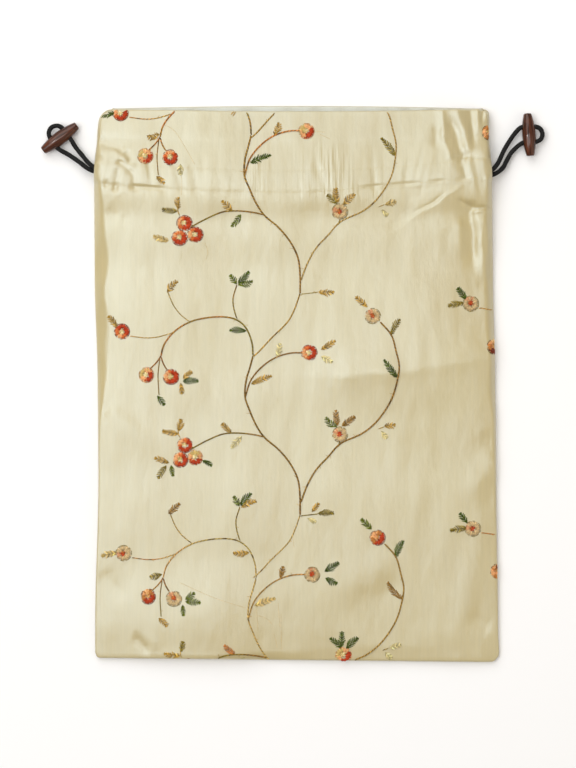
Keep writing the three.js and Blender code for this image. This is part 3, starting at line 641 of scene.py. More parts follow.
def silk_sheet(name, points, turned_in):
    """A grid laid to the points of a panel, with its flat sizes as UVs, a mark on the rows that are turned
    in as the lining, and the cloth's thickness under it."""
    rows, columns = points.shape[:2]
    deselect()
    bpy.ops.mesh.primitive_grid_add(x_subdivisions=columns - 1, y_subdivisions=rows - 1, size=2)
    sheet = bpy.context.object
    sheet.name = sheet.data.name = name
    mesh = sheet.data
    flat = np.empty(len(mesh.vertices) * 3)
    mesh.vertices.foreach_get("co", flat)
    flat = flat.reshape(-1, 3)
    column = np.rint((flat[:, 0] + 1) / 2 * (columns - 1)).astype(int)
    row = np.rint((flat[:, 1] + 1) / 2 * (rows - 1)).astype(int)
    mesh.vertices.foreach_set("co", (points[row, column] * MM).ravel())
    run = np.linalg.norm(np.diff(points, axis=0), axis=-1).mean(axis=1)
    up = np.concatenate([[0], np.cumsum(run)]) * MM
    corners = np.empty(len(mesh.loops), dtype=int)
    mesh.loops.foreach_get("vertex_index", corners)
    uvs = np.stack([points[row, column][:, 0] * MM, up[row]], axis=-1)[corners]
    mesh.uv_layers.active.data.foreach_set("uv", uvs.ravel())
    lining = mesh.attributes.new("lining", "FLOAT", "POINT")
    lining.data.foreach_set("value", turned_in[row].astype(np.float32))
    mesh.update()
    bpy.ops.object.shade_smooth()
    thickness = sheet.modifiers.new("thickness", "SOLIDIFY")
    thickness.thickness = CLOTH * MM
    thickness.offset = -1
    bpy.ops.object.modifier_apply(modifier=thickness.name)
    return sheet


def srgb(colour):
    """Linear values of a colour given as sRGB out of 255."""
    share = np.asarray(colour, float) / 255
    return np.where(share <= 0.04045, share / 12.92, ((share + 0.055) / 1.055) ** 2.4)


class Stitches:
    """Single stitches gathered up, to be made as one mesh of small bowed threads."""

    # Rings of a thread: share of its length, share of its radius, and lift in radii.
    RINGS = ((0.0, 0.45, -0.35), (0.28, 0.95, 0.75), (0.72, 0.95, 0.75), (1.0, 0.45, -0.35))
    SIDES = 5

    def __init__(self):
        self.rows = []

    def add(self, start, end, radius, colour, rise=1.0):
        self.rows.append((*start, *end, radius, rise, *colour))

    def make(self, name, margin):
        """The mesh of the stitches that lie on the cloth, that far from its seams."""
        table = np.array(self.rows)
        start, end = table[:, 0:2], table[:, 2:4]
        middle = (start + end) / 2
        kept = inside(middle[:, 0], middle[:, 1], margin)
        for tip in (start, end):
            kept &= inside(tip[:, 0], tip[:, 1], margin * 0.5)
        table = table[kept]
        rings, sides = len(self.RINGS), self.SIDES
        quads = []
        for k in range(rings - 1):
            for s in range(sides):
                t = (s + 1) % sides
                quads.append((k * sides + s, (k + 1) * sides + s, (k + 1) * sides + t, k * sides + t))
        first = tuple(range(sides))
        last = tuple((rings - 1) * sides + s for s in reversed(range(sides)))
        return self._mesh(name, self._points(table), quads, (first, last), table[:, 6:9])

    def _points(self, table):
        start, end = table[:, 0:2], table[:, 2:4]
        radius, rise = table[:, 4], table[:, 5]
        way = end - start
        way /= np.maximum(np.linalg.norm(way, axis=1, keepdims=True), 1e-6)
        side = np.stack([-way[:, 1], way[:, 0]], axis=1)
        points = np.empty((len(table), len(self.RINGS), self.SIDES, 3))
        for k, (share, girth, lift) in enumerate(self.RINGS):
            middle = start + (end - start) * share
            height = surface(middle[:, 0], middle[:, 1]) + lift * radius * rise
            for s in range(self.SIDES):
                angle = 2 * math.pi * s / self.SIDES
                points[:, k, s, :2] = middle + side * (radius * girth * math.cos(angle))[:, None]
                points[:, k, s, 2] = height + radius * girth * math.sin(angle)
        return points

    def _mesh(self, name, points, quads, caps, colours):
        count = len(points)
        each = points.shape[1] * points.shape[2]
        offsets = np.arange(count)[:, None, None] * each
        faces = (np.array(quads)[None] + offsets).reshape(-1, 4).tolist()
        faces += (np.array(caps)[None] + offsets).reshape(-1, self.SIDES).tolist()
        mesh = bpy.data.meshes.new(name)
        mesh.from_pydata((points.reshape(-1, 3) * MM).tolist(), [], faces)
        tint = mesh.attributes.new("thread", "FLOAT_COLOR", "POINT")
        colour = np.ones((count, each, 4))
        colour[:, :, :3] = colours[:, None, :]
        tint.data.foreach_set("color", colour.ravel())
        return link(name, mesh)


# The embroidery.

def to_cloth(pixel):
    """The place on the pouch of a pixel of the photograph."""
    return np.array([(pixel[0] - PHOTO_CENTRE[0]) * PIXEL, (PHOTO_CENTRE[1] - pixel[1]) * PIXEL])


def charted(pixel, shift):
    """The place on the pouch of a point of the chart, in one of its repeats."""
    across = pixel[0] + shift[0] + shift[2] * (pixel[0] - STRETCH_FROM)
    down = pixel[1] + shift[1]
    gathered = (1 - ramp(down, GATHER_FROM, GATHER_TO)) * (1 - ramp(across, EVEN_FROM, EVEN_TO))
    taken = GATHER_TAKES * gathered
    drawn = HEADER_NARROWS * (across - NARROWS_ABOUT) * (1 - ramp(down, NARROWS_FROM, NARROWS_TO))
    return to_cloth((across - drawn, down + taken))


def smooth_path(points, step):
    """Places a step apart along a smooth curve through the points, with the way that it runs at each."""
    points = np.asarray(points, float)
    padded = np.vstack([2 * points[0] - points[1], points, 2 * points[-1] - points[-2]])
    dense = []
    for k in range(len(points) - 1):
        p0, p1, p2, p3 = padded[k:k + 4]
        t0 = 0.0
        t1 = t0 + math.sqrt(np.linalg.norm(p1 - p0))
        t2 = t1 + math.sqrt(np.linalg.norm(p2 - p1))
        t3 = t2 + math.sqrt(np.linalg.norm(p3 - p2))
        for t in np.linspace(t1, t2, 24, endpoint=False):
            a1 = p0 * (t1 - t) / (t1 - t0) + p1 * (t - t0) / (t1 - t0)
            a2 = p1 * (t2 - t) / (t2 - t1) + p2 * (t - t1) / (t2 - t1)
            a3 = p2 * (t3 - t) / (t3 - t2) + p3 * (t - t2) / (t3 - t2)
            b1 = a1 * (t2 - t) / (t2 - t0) + a2 * (t - t0) / (t2 - t0)
            b2 = a2 * (t3 - t) / (t3 - t1) + a3 * (t - t1) / (t3 - t1)
            dense.append(b1 * (t2 - t) / (t2 - t1) + b2 * (t - t1) / (t2 - t1))
    dense = np.vstack([dense, points[-1]])
    run = np.concatenate([[0], np.cumsum(np.linalg.norm(np.diff(dense, axis=0), axis=1))])
    count = max(2, round(run[-1] / step) + 1)
    at = np.linspace(0, run[-1], count)
    places = np.stack([np.interp(at, run, dense[:, i]) for i in range(dense.shape[1])], axis=1)
    ways = np.gradient(places, axis=0)
    ways /= np.maximum(np.linalg.norm(ways, axis=1, keepdims=True), 1e-9)
    return places, ways, run[-1]


def repeats():
    """Each repeat of the chart: its shift in pixels, its stretch, and the thread column that it takes."""
    for number, shift in enumerate(REPEATS):
        yield shift, max(number - 1, 0)
    for (across, down, _), (step, rise) in zip(REPEATS, COLUMN_STEPS):
        yield (across + step, down + rise, 0.0), 3


def shade(colour, draw, variation):
    """A thread's colour, a little lighter or darker from one stitch to the next."""
    return np.clip(srgb(colour) * math.exp(draw.normal(0, variation)), 0, 1)


def stem_colour(first, last, fade, share, darker):
    """The colour of a stem's stitch, on the way from its first thread to its last, faded or darkened, with
    every other stitch in painted shade between the strands and the rest painted lighter.
    """
    faded = np.array(THREADS["straw" if fade > 0 else "dark"])
    colour = (1 - share) * np.array(THREADS[first]) + share * np.array(THREADS[last])
    colour = (1 - abs(fade)) * colour + abs(fade) * faded
    return colour * (0.82 if darker else 1.12)


def sew_vines():
    """Stem stitch: slanting stitches that overlap like the strands of a rope, in a thread whose colour
    comes and goes, every other stitch in painted shade between the strands, with a loose end standing out
    here and there."""
    step, slant, thickness, rise = 1.15, 0.34, 0.4, 1.2
    dark_share, loose_share = 0.04, 0.05
    stitches = Stitches()
    draw = np.random.default_rng(VINE_SEED)
    for shift, version in repeats():
        for _, first, last, width, fading, chart in VINES:
            places, ways, _ = smooth_path([charted(point, shift) for point in chart], step)
            fade = fading[version]
            girth = width * (1 - 0.3 * max(fade, 0))
            drift = np.cumsum(draw.normal(0, 0.3, len(places)))
            for k in range(len(places) - 1):
                share = np.clip(k / len(places) + 0.55 * math.sin(drift[k]), 0, 1)
                # Every other stitch is darker: painted shade between the strands of the rope.
                colour = stem_colour(first, last, fade, share, k % 2 == 0)
                if draw.random() < dark_share:
                    colour = np.array(THREADS["dark"])
                side = np.array([-ways[k][1], ways[k][0]]) * girth * slant
                end = places[min(k + 2, len(places) - 1)]
                tint = shade(colour, draw, 0.17)
                stitches.add(places[k] - side, end + side, thickness * girth, tint, rise)
                if draw.random() < loose_share:
                    loose = side * draw.choice((-1, 1)) * draw.uniform(4, 7) + ways[k] * draw.uniform(-2, 1)
                    stitches.add(places[k], places[k] + loose, 0.14, shade(THREADS["gold"], draw, 0.2))
    return stitches.make("vine_embroidery", 0.6)


def sew_leaf(stitches, draw, start, end, colour):
    """Fishbone stitch: slanting stitches from the midrib out to each side, and a darker line down it."""
    spacing, thickness, furthest_lean, rib_stitches = 1.2, 0.4, 1.9, 4
    length = np.linalg.norm(end - start)
    way = (end - start) / length
    side = np.array([-way[1], way[0]])
    half_width = min(0.2 * length + 0.7, 2.5)
    bow = draw.normal(0, 0.06) * length
    count = max(6, round(length / spacing))
    for k in range(count):
        share = (k + 0.2) / count
        rib = start + way * length * share + side * bow * 4 * share * (1 - share)
        outline = math.sin(math.pi * min(1, 0.14 + 0.84 * share) ** 0.85)
        reach = half_width * outline * draw.uniform(0.7, 1.14)
        lean = min(furthest_lean, length * (1 - share))
        turn = colour * (1.1 if k % 2 else 0.92)
        for flank in (-1, 1):
            out = rib + way * lean + side * flank * max(reach, 0.3)
            inner = rib - side * flank * 0.35
            stitches.add(inner, out, thickness, shade(turn, draw, 0.24))
    for k in range(rib_stitches):
        a = start + way * length * k / rib_stitches
        b = start + way * length * (k + 1.15) / rib_stitches
        stitches.add(a, b, 0.2, shade(colour * 0.66, draw, 0.1), 2.6)


def sew_leaves():
    """All the leaves that each repeat has, in its threads."""
    stitches = Stitches()
    draw = np.random.default_rng(LEAF_SEED)
    for shift, version in repeats():
        for base, tip, threads in LEAVES:
            if threads[version] is None:
                continue
            start = charted(base, shift) + draw.normal(0, PLACE_WANDER, 2)
            end = charted(tip, shift) + draw.normal(0, PLACE_WANDER, 2)
            sew_leaf(stitches, draw, start, end, np.array(THREADS[threads[version]]))
    return stitches.make("leaf_embroidery", 0.5)


def around(heart, angle, radius, squash):
    """A place on the ellipse round a heart."""
    return heart + np.array([math.cos(angle) * squash, math.sin(angle)]) * radius


def ring_thread(kind, angle, painted_light_way, draw):
    """The thread of a berry's ring at an angle: on the side in painted shade, between, or on the side in
    painted highlight.
    """
    share = 0.5 + 0.5 * math.cos(angle - painted_light_way) + draw.normal(0, 0.08)
    return THREADS[kind[:3][int(np.searchsorted(kind[3], share))]]


def sew_berry(stitches, draw, heart, kind):
    """A padded ball: a ring of stitches over an underlay, with a painted highlight on one side and painted
    shade on the other, an outline round it that is mostly left out on the lit side, and a pale middle that
    lies towards the lit side, partly the berry's own pale centre and partly painted highlight."""
    underlay, rays, outline, knot = 14, 42, 24, 18
    rim, middle = kind[4:]
    # The way that the light comes from: the ring is painted paler towards it and redder away from it.
    painted_light_way = math.radians(145 + draw.normal(0, 30))
    squash = draw.uniform(0.95, 1.05)
    for k in range(underlay):
        angle = 2 * math.pi * k / underlay
        a = around(heart, angle - 0.3, BERRY_RADIUS * 0.68, squash)
        b = around(heart, angle + 0.3, BERRY_RADIUS * 0.68, squash)
        stitches.add(a, b, 1.0, shade(ring_thread(kind, angle, painted_light_way, draw), draw, 0.06), 0.6)
    for k in range(rays):
        angle = 2 * math.pi * (k + draw.uniform(-0.3, 0.3)) / rays
        inner = around(heart, angle, BERRY_RADIUS * draw.uniform(0.12, 0.46), squash)
        outer_angle = angle + draw.uniform(0, 0.2)
        outer = around(heart, outer_angle, BERRY_RADIUS * draw.uniform(0.96, 1.01), squash)
        stitches.add(inner, outer, 0.42, shade(ring_thread(kind, angle, painted_light_way, draw), draw, 0.24), 2.0)
    for k in range(outline):
        angle = 2 * math.pi * k / outline
        if draw.random() < 0.15 + 0.4 * (0.5 + 0.5 * math.cos(angle - painted_light_way)):
            continue
        a = around(heart, angle, BERRY_RADIUS * 0.99, squash)
        b = around(heart, angle + 0.34, BERRY_RADIUS, squash)
        stitches.add(a, b, 0.19, shade(THREADS[rim], draw, 0.18), 2.0)
    core = around(heart, painted_light_way, BERRY_RADIUS * 0.1, squash)
    for k in range(knot):
        angle = 2 * math.pi * k / knot + draw.uniform(-0.2, 0.2)
        tip = around(core, angle, BERRY_RADIUS * draw.uniform(0.22, 0.52), squash)
        colour = THREADS[middle[int(draw.integers(0, 3))]]
        foot = around(core, angle + math.pi, 0.3, squash)
        stitches.add(foot, tip, 0.33, shade(colour, draw, 0.2), 2.8)


def sew_berries():
    """All the berries, each of the kind that it has in its repeat."""
    stitches = Stitches()
    draw = np.random.default_rng(BERRY_SEED)
    for shift, version in repeats():
        for centre, kinds in BERRIES:
            heart = charted(centre, shift) + draw.normal(0, PLACE_WANDER, 2)
            sew_berry(stitches, draw, heart, BERRY_KINDS[kinds[version]])
    return stitches.make("berry_embroidery", 0.4)


def sew_channel():
    """The two rows of straight machine stitches that hold the drawcord channel."""
    pitch, stitch_length, from_left, from_right = 2.9, 2.3, 9, 10
    stitches = Stitches()
    draw = np.random.default_rng(CHANNEL_SEED)
    for row, climbs in ((LOWER_STITCH, 1), (UPPER_STITCH, 0)):
        section = section_at(np.array(row))
        for x in np.arange(section["left"] + from_left, section["right"] - from_right, pitch):
            ends = []
            for place in (np.array(x), np.array(x + stitch_length)):
                level = row + climbs * stitch_climb(place)
                ends.append((float(place), float(level + row_shift(np.array(row), place, section))))
            stitches.add(*ends, 0.12, shade(CHANNEL_THREAD, draw, 0.05), 0.25)
    return stitches.make("channel_stitching", 1.0)


def sew_jump_threads():
    """Thin threads that run loose over the cloth between the sprigs."""
    stitches = Stitches()
    draw = np.random.default_rng(JUMP_SEED)
    for chart in JUMP_THREADS:
        places, _, _ = smooth_path([to_cloth(point) for point in chart], 1.6)
        for a, b in zip(places[:-1], places[1:]):
            stitches.add(a, b + (b - a) * 0.15, 0.13, shade(JUMP_THREAD, draw, 0.08))
    return stitches.make("jump_threads", 1.0)


# Cords and toggles.

def whole_route(loop, run, end):
    """A cord's whole loop: what is seen of it, its run through the front's channel, and the way back."""
    back = [(x, y, 2 * CORD_MIRROR - z) for x, y, z in run[-2::-1]]
    return loop + run + back + [end]


def braid_points(places, ways):
    """Rings round a cord's line, rising and falling with two sets of strands."""
    normal = np.cross(ways[0], (0, 0, 1.0))
    normal /= np.linalg.norm(normal)
    points = []
    for k, (place, way) in enumerate(zip(places, ways)):
        normal = normal - way * np.dot(normal, way)
        normal /= np.linalg.norm(normal)
        binormal = np.cross(way, normal)
        turn = 2 * math.pi * k * CORD_STEP / BRAID_PITCH
        for s in range(CORD_SIDES):
            angle = 2 * math.pi * s / CORD_SIDES
            weave = max(math.cos(BRAID_STRANDS * angle + turn), math.cos(BRAID_STRANDS * angle - turn))
            radius = CORD_DIAMETER / 2 * (0.97 + 0.03 * weave)
            points.append(place + radius * (math.cos(angle) * normal + math.sin(angle) * binormal))
    return np.array(points)


def braided_cord(name, route):
    """A round braid along a route, with its line and its length."""
    places, ways, length = smooth_path(np.array(route), CORD_STEP)
    places[:, 2] -= CORD_SINK * ramp(places[:, 2], 8.0, 12.5)
    last, sides = len(places) - 1, CORD_SIDES
    cells = [((k, s), (k, s + 1), (k + 1, s + 1), (k + 1, s)) for k in range(last) for s in range(sides)]
    cells.append(tuple((0, s) for s in reversed(range(sides))))
    cells.append(tuple((last, s) for s in range(sides)))
    faces = [tuple(k * sides + s % sides for k, s in cell) for cell in cells]
    mesh = bpy.data.meshes.new(name)
    mesh.from_pydata((braid_points(places, ways) * MM).tolist(), [], faces)
    flat = [(s / sides, k * CORD_STEP * MM) for cell in cells for k, s in cell]
    mesh.uv_layers.new(name="cord").data.foreach_set("uv", np.array(flat).ravel())
    return link(name, mesh), (places * MM).tolist(), length * MM


def spindle_rings():
    """Heights and radii of a toggle's rings, after its first flat end."""
    half = TOGGLE_LENGTH / 2
    rings = [(-half + TOGGLE_BEVEL_HEIGHT, TOGGLE_END_RADIUS)]
    for share in np.linspace(-0.96, 0.96, 33):
        swell = 1 - abs(share) ** TOGGLE_FULLNESS
        rings.append((share * half, TOGGLE_END_RADIUS + (TOGGLE_RADIUS - TOGGLE_END_RADIUS) * swell))
    rings.append((half - TOGGLE_BEVEL_HEIGHT, TOGGLE_END_RADIUS))
    rings.append((half, TOGGLE_END_RADIUS - TOGGLE_BEVEL))
    return rings


def drill(spindle, height):
    """Cuts a cord hole across a spindle."""
    deselect()
    bpy.ops.mesh.primitive_cylinder_add(vertices=32, radius=TOGGLE_HOLE_DIAMETER / 2 * MM,
                                        depth=4 * TOGGLE_RADIUS * MM, rotation=(0, math.pi / 2, 0),
                                        location=(0, 0, height * MM))
    cutter = bpy.context.object
    hole = spindle.modifiers.new("hole", "BOOLEAN")
    hole.operation = "DIFFERENCE"
    hole.object = cutter
    hole.solver = "EXACT"
    bpy.context.view_layer.objects.active = spindle
    bpy.ops.object.modifier_apply(modifier=hole.name)
    bpy.data.objects.remove(cutter, do_unlink=True)


def turned_toggle(name, x, y, turn):
    """A spindle drawn up ring by ring from its flat end, with two cord holes drilled across it."""
    height, radius = -TOGGLE_LENGTH / 2, TOGGLE_END_RADIUS - TOGGLE_BEVEL
    deselect()
    bpy.ops.mesh.primitive_circle_add(vertices=48, radius=radius * MM, fill_type="NGON",
                                      location=(0, 0, height * MM))
    spindle = bpy.context.object
    spindle.name = spindle.data.name = name
    bpy.ops.object.transform_apply(location=True)
    bpy.ops.object.mode_set(mode="EDIT")
    bpy.ops.mesh.select_all(action="SELECT")
    for ring_height, ring_radius in spindle_rings():
        rise = (0, 0, (ring_height - height) * MM)
        bpy.ops.mesh.extrude_region_move(TRANSFORM_OT_translate={"value": rise})
        growth = ring_radius / radius
        bpy.ops.transform.resize(value=(growth, growth, 1), center_override=(0, 0, ring_height * MM))
        height, radius = ring_height, ring_radius
    bpy.ops.mesh.select_all(action="SELECT")
    bpy.ops.mesh.normals_make_consistent(inside=False)
    bpy.ops.object.mode_set(mode="OBJECT")
    for end in (-1, 1):
        drill(spindle, end * TOGGLE_HOLE_SPACING / 2)
    lie = Matrix.Rotation(math.radians(turn), 4, "Z") @ Matrix.Rotation(-math.pi / 2, 4, "X")
    place = Matrix.Translation(Vector((x, y, TOGGLE_RADIUS + TOGGLE_LIFT)) * MM)
    spindle.data.transform(place @ lie)
    deselect()
    spindle.select_set(True)
    bpy.context.view_layer.objects.active = spindle
    bpy.ops.object.shade_smooth_by_angle(angle=math.radians(35))
    return spindle


# Materials.

def set_input(tree, socket, value):
    """Joins an input to another node's output, or sets it to a plain value."""
    if isinstance(value, bpy.types.NodeSocket):
        tree.links.new(value, socket)
    else:
        socket.default_value = value


def add_node(tree, kind, inputs=None, **settings):
    """A shader node with its settings made and its inputs set."""
    node = tree.nodes.new("ShaderNode" + kind)
    for name, value in settings.items():
        setattr(node, name, value)
    for name, value in (inputs or {}).items():
        set_input(tree, node.inputs[name], value)
    return node


def calculate(tree, operation, *values):
    node = add_node(tree, "Math", operation=operation)
    for socket, value in zip(node.inputs, values):
        set_input(tree, socket, value)
    return node.outputs[0]


def ranged(tree, value, low, high, start=0.0, stop=1.0):
    """A value that runs from low to high while another runs from start to stop."""
    inputs = {"Value": value, "From Min": start, "From Max": stop, "To Min": low, "To Max": high}
    return add_node(tree, "MapRange", inputs).outputs["Result"]


def smooth_step(tree, value, low, high):
    """0 at low and beyond, 1 at high and beyond, and smooth between."""
    inputs = {"Value": value, "From Min": low, "From Max": high}
    return add_node(tree, "MapRange", inputs, interpolation_type="SMOOTHSTEP").outputs["Result"]


def mixed(tree, a, b, factor=1.0, blend="MIX"):
    inputs = {"Factor": factor, "A": a, "B": b}
    return add_node(tree, "Mix", inputs, data_type="RGBA", blend_type=blend).outputs["Result"]


def noise(tree, place, scale=1.0, detail=2.0, distortion=0.0):
    inputs = {"Vector": place, "Scale": scale, "Detail": detail, "Distortion": distortion}
    return add_node(tree, "TexNoise", inputs).outputs["Fac"]


def stretched(tree, place, scale):
    """A vector scaled to so many features to the metre across, along and through."""
    return add_node(tree, "Mapping", {"Vector": place, "Scale": scale}).outputs[0]


def bumped(tree, height, strength, distance, normal=None):
    inputs = {"Height": height, "Strength": strength, "Distance": distance}
    if normal is not None:
        inputs["Normal"] = normal
    return add_node(tree, "Bump", inputs).outputs["Normal"]


def split(tree, vector):
    return add_node(tree, "SeparateXYZ", {"Vector": vector}).outputs


def object_place(tree):
    return add_node(tree, "TexCoord").outputs["Object"]


def flat_place(tree):
    return add_node(tree, "UVMap").outputs["UV"]


def attribute(tree, name, output):
    return add_node(tree, "Attribute", attribute_name=name).outputs[output]


def opaque(colour):
    return (*srgb(colour), 1)


def new_material(name):
    material = bpy.data.materials.new(name)
    material.use_nodes = True
    return material, material.node_tree


def dress(tree, inputs):
    """Sets the inputs of a material's surface."""
    shader = tree.nodes["Principled BSDF"]
    for name, value in inputs.items():
        set_input(tree, shader.inputs[name], value)


def new_group(name, numbers, results):
    """A node group with a vector and numbers going in, and numbers coming out."""
    group = bpy.data.node_groups.new(name, "ShaderNodeTree")
    face = group.interface
    face.new_socket("Vector", in_out="INPUT", socket_type="NodeSocketVector")
    for socket, value in numbers.items():
        face.new_socket(socket, in_out="INPUT", socket_type="NodeSocketFloat").default_value = value
    for socket in results:
        face.new_socket(socket, in_out="OUTPUT", socket_type="NodeSocketFloat")
    return group, group.nodes.new("NodeGroupInput").outputs, group.nodes.new("NodeGroupOutput").inputs


def placed_group(tree, group, place, **numbers):
    inputs = {name.replace("_", " "): value for name, value in numbers.items()}
    return add_node(tree, "Group", {"Vector": place, **inputs}, node_tree=group).outputs


def weave_group():
    """A plain weave: warp and weft ridges at a pitch, with long slubs along the warp."""
    numbers = {"Threads": 2400.0, "Slub length": 60.0, "Slub count": 1500.0}
    group, given, made = new_group("plain_weave", numbers, ("Height", "Slub"))
    along = split(group, given["Vector"])
    pitch = calculate(group, "MULTIPLY", given["Threads"], math.pi)
    warp = calculate(group, "SINE", calculate(group, "MULTIPLY", along["X"], pitch))
    weft = calculate(group, "SINE", calculate(group, "MULTIPLY", along["Y"], pitch))
    across_slubs = calculate(group, "MULTIPLY", along["X"], given["Slub count"])
    along_slubs = calculate(group, "MULTIPLY", along["Y"], given["Slub length"])
    slub = noise(group, add_node(group, "CombineXYZ", {"X": across_slubs, "Y": along_slubs}).outputs[0])
    crossing = calculate(group, "MULTIPLY", calculate(group, "MULTIPLY", warp, weft), 0.35)
    group.links.new(calculate(group, "ADD", crossing, slub), made["Height"])
    group.links.new(slub, made["Slub"])
    return group


def gathers_group():
    """Crumples all over a cloth, and fine upright gathers in patches of a band across it."""
    group, given, made = new_group("crumple_and_gathers", {}, ("Height",))
    place = given["Vector"]
    along = split(group, place)
    patches = noise(group, stretched(group, place, (22.0, 8.0, 8.0)), detail=1.0)
    masks = (
        smooth_step(group, along["Y"], *GATHERS_START),
        smooth_step(group, along["Y"], *GATHERS_STOP),
        smooth_step(group, patches, *GATHERS_PATCHY),
        smooth_step(group, along["X"], *GATHERS_OFF_LEFT),
    )
    gathers = noise(group, stretched(group, place, (420.0, 30.0, 60.0)), detail=1.0)
    for factor in (*masks, GATHER_DEPTH):
        gathers = calculate(group, "MULTIPLY", gathers, factor)
    crumple = noise(group, stretched(group, place, (150.0, 62.0, 60.0)), detail=3.0)
    crumple = calculate(group, "MULTIPLY", crumple, CRUMPLE_DEPTH)
    group.links.new(calculate(group, "ADD", gathers, crumple), made["Height"])
    return group


def silk_material():
    """Champagne silk: a tan body under a strong pale gloss, uneven from place to place, with slubs."""
    material, tree = new_material("champagne_silk")
    place = object_place(tree)
    weave = placed_group(tree, weave_group(), flat_place(tree), Threads=6000.0, Slub_length=36.0,
                         Slub_count=700.0)
    cloud = noise(tree, place, scale=16.0, detail=4.0)
    tone = mixed(tree, opaque(SILK_DEEP), opaque(SILK_PALE), cloud)
    lined = mixed(tree, tone, opaque(LINING), attribute(tree, "lining", "Fac"))
    streaks = ranged(tree, weave["Slub"], 0.97, 1.03, start=0.3, stop=0.7)
    streaked = mixed(tree, lined, streaks, blend="MULTIPLY")
    # A painted cool sheen: the colour is tinted cooler from the channel up.
    painted_sheen_band = smooth_step(tree, split(tree, place)["Y"], SHEEN_BAND_FROM * MM, SHEEN_BAND_TO * MM)
    gathers = placed_group(tree, gathers_group(), place)
    uneven = bumped(tree, gathers["Height"], strength=1.0, distance=0.001)
    dress(tree, {
        "Base Color": mixed(tree, streaked, (*PAINTED_SHEEN_TINT, 1), painted_sheen_band, "MULTIPLY"),
        "Roughness": ranged(tree, cloud, 0.32, 0.42),
        "IOR": 2.0,
        "Specular IOR Level": 0.75,
        "Specular Tint": (0.68, 0.88, 1.0, 1),
        "Sheen Weight": 0.15,
        "Sheen Roughness": 0.4,
        "Sheen Tint": (1.0, 0.97, 0.9, 1),
        "Normal": bumped(tree, weave["Height"], 0.1, 0.0003, normal=uneven),
    })
    return material


def thread_material():
    """Embroidery thread: each stitch in its own colour, with fine filaments along it."""
    material, tree = new_material("embroidery_thread")
    filament = noise(tree, object_place(tree), scale=2600.0)
    shading = ranged(tree, filament, 0.8, 1.15)
    dress(tree, {
        "Base Color": mixed(tree, attribute(tree, "thread", "Color"), shading, blend="MULTIPLY"),
        "Roughness": 0.6,
        "Specular IOR Level": 0.14,
        "Normal": bumped(tree, filament, strength=0.25, distance=0.0001),
    })
    return material


def cord_material():
    """Black braided cord with a faint lustre on its strands."""
    material, tree = new_material("black_braid")
    strand = noise(tree, stretched(tree, flat_place(tree), (8.0, 900.0, 1.0)), scale=1.6)
    dress(tree, {
        "Base Color": mixed(tree, *CORD_SHADES, strand),
        "Roughness": 0.7,
        "Specular IOR Level": 0.25,
        "Normal": bumped(tree, strand, strength=0.4, distance=0.0002),
    })
    return material


def wood_material(name, x, y, turn):
    """Dark polished wood with its grain along the spindle."""
    material, tree = new_material(name)
    spot = {"Vector": object_place(tree), "Location": (x * MM, y * MM, TOGGLE_RADIUS * MM),
            "Rotation": (0, 0, math.radians(turn))}
    lying = add_node(tree, "Mapping", spot, vector_type="TEXTURE").outputs[0]
    grain = noise(tree, stretched(tree, lying, (900.0, 70.0, 900.0)), detail=5.0, distortion=0.6)
    shades = add_node(tree, "ValToRGB", {"Fac": grain})
    for element, (position, colour) in zip(shades.color_ramp.elements, WOOD_SHADES):
        element.position = position
        element.color = colour
    dress(tree, {
        "Base Color": shades.outputs["Color"],
        "Roughness": ranged(tree, grain, 0.14, 0.3),
        "Specular IOR Level": 0.14,
        "Coat Weight": 0.5,
        "Coat Roughness": 0.08,
        "Normal": bumped(tree, grain, strength=0.15, distance=0.0002),
    })
    return material


def floor_material():
    material, tree = new_material("white_floor")
    dress(tree, {"Base Color": (0.92, 0.92, 0.92, 1), "Roughness": 0.9})
    return material


# The stage: camera straight over the pouch, floor and soft light.

def place_camera():
    eye_height = 1.8
    focus_height = 0.008
    sensor = 36.0
    seen = PHOTO_SIZE[1] * PIXEL * MM
    centre = to_cloth((PHOTO_SIZE[0] / 2, PHOTO_SIZE[1] / 2)) * MM
    data = bpy.data.cameras.new("camera")
    data.sensor_width = sensor
    data.sensor_fit = "AUTO"
    data.lens = sensor * (eye_height - focus_height) / seen
    camera = bpy.data.objects.new("camera", data)
    camera.location = (centre[0], centre[1], eye_height)
    bpy.context.scene.collection.objects.link(camera)
    bpy.context.scene.camera = camera


def area_light(name, place, aim, size, power, colour):
    data = bpy.data.lights.new(name, "AREA")
    data.shape = "RECTANGLE"
    data.size, data.size_y = size
    data.energy = power
    data.color = colour
    light = bpy.data.objects.new(name, data)
    light.location = place
    light.rotation_euler = (Vector(aim) - Vector(place)).to_track_quat("-Z", "Y").to_euler()
    bpy.context.scene.collection.objects.link(light)


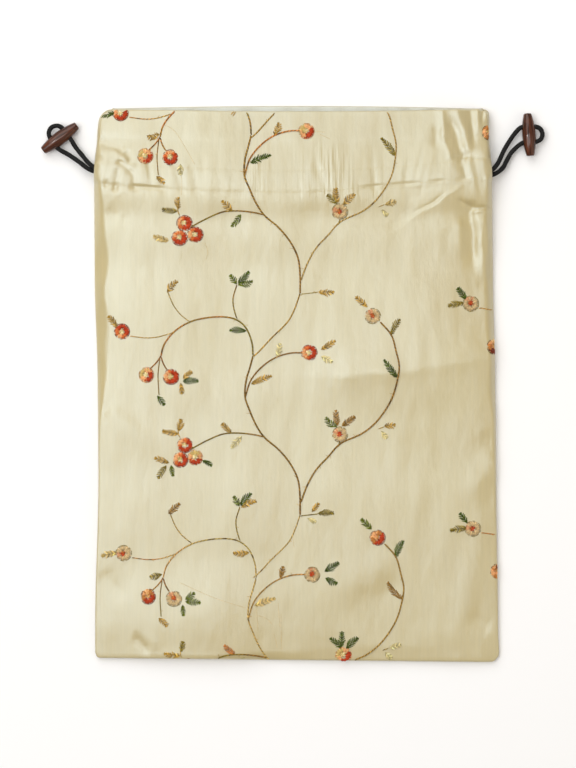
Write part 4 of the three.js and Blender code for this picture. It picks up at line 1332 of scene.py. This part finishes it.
def light_stage():
    area_light("key", (-0.55, 1.22, 1.3), (0, 0.02, 0), (1.8, 1.8), 22.5, (1.0, 0.985, 0.96))
    area_light("overhead", (-0.7, -0.12, 2.3), (0, 0, 0), (0.8, 2.9), 26.2, (1.0, 0.99, 0.98))
    area_light("spark", (-0.42, 0.16, 1.0), (0, 0.15, 0), (0.03, 0.2), 0.8, (1.0, 0.98, 0.95))
    area_light("fill", (1.3, -0.5, 0.9), (0, 0, 0), (1.5, 1.5), 5.5, (1.0, 0.84, 0.64))
    world = bpy.data.worlds.new("studio")
    world.use_nodes = True
    world.node_tree.nodes["Background"].inputs["Color"].default_value = (1, 1, 1, 1)
    world.node_tree.nodes["Background"].inputs["Strength"].default_value = 0.3
    bpy.context.scene.world = world
    bpy.context.scene.view_settings.view_transform = "Standard"
    deselect()
    bpy.ops.mesh.primitive_plane_add(size=6, location=(0, 0, -0.0002))
    floor = bpy.context.object
    floor.name = "floor"
    bpy.ops.object.transform_apply(location=True)
    floor.data.materials.append(floor_material())


place_camera()
thread = thread_material()
braid = cord_material()
silk = silk_material()
left_route = whole_route(LEFT_LOOP, LEFT_RUN, LEFT_END)
right_route = whole_route(RIGHT_LOOP, RIGHT_RUN, RIGHT_END)
for side, route, spot in (("left", left_route, LEFT_TOGGLE), ("right", right_route, RIGHT_TOGGLE)):
    toggle = turned_toggle("wooden_toggle_" + side, *spot)
    adopt(toggle, wood_material("dark_wood_" + side, *spot), "wood", "toggle_" + side)
    cord, path, length = braided_cord("braided_cord_" + side, route)
    adopt(cord, braid, "cord", "drawcord_" + side)

front_rows = panel_rows(low_spacing=2.6, high_spacing=0.95)
back_rows = panel_rows(low_spacing=3.2, high_spacing=2.4)
front_across = runs(stations=(0.0, 0.13, 0.79, 1.0), spacings=(0.0042, 0.0088, 0.0042))
back_across = np.linspace(0, 1, 77)
front_place = front_points(front_rows, front_across, roll_columns=8)
back_place = back_points(back_rows, back_across, roll_columns=6)[:, ::-1]
front = adopt(silk_sheet("silk_front", front_place, front_rows[:, 1]), silk, "silk", "front_panel")
back = adopt(silk_sheet("silk_back", back_place, back_rows[:, 1]), silk, "silk", "back_panel")
sewn = [sew_vines(), sew_leaves(), sew_berries(), sew_channel(), sew_jump_threads()]
for piece in sewn:
    adopt(piece, thread, "silk")
light_stage()
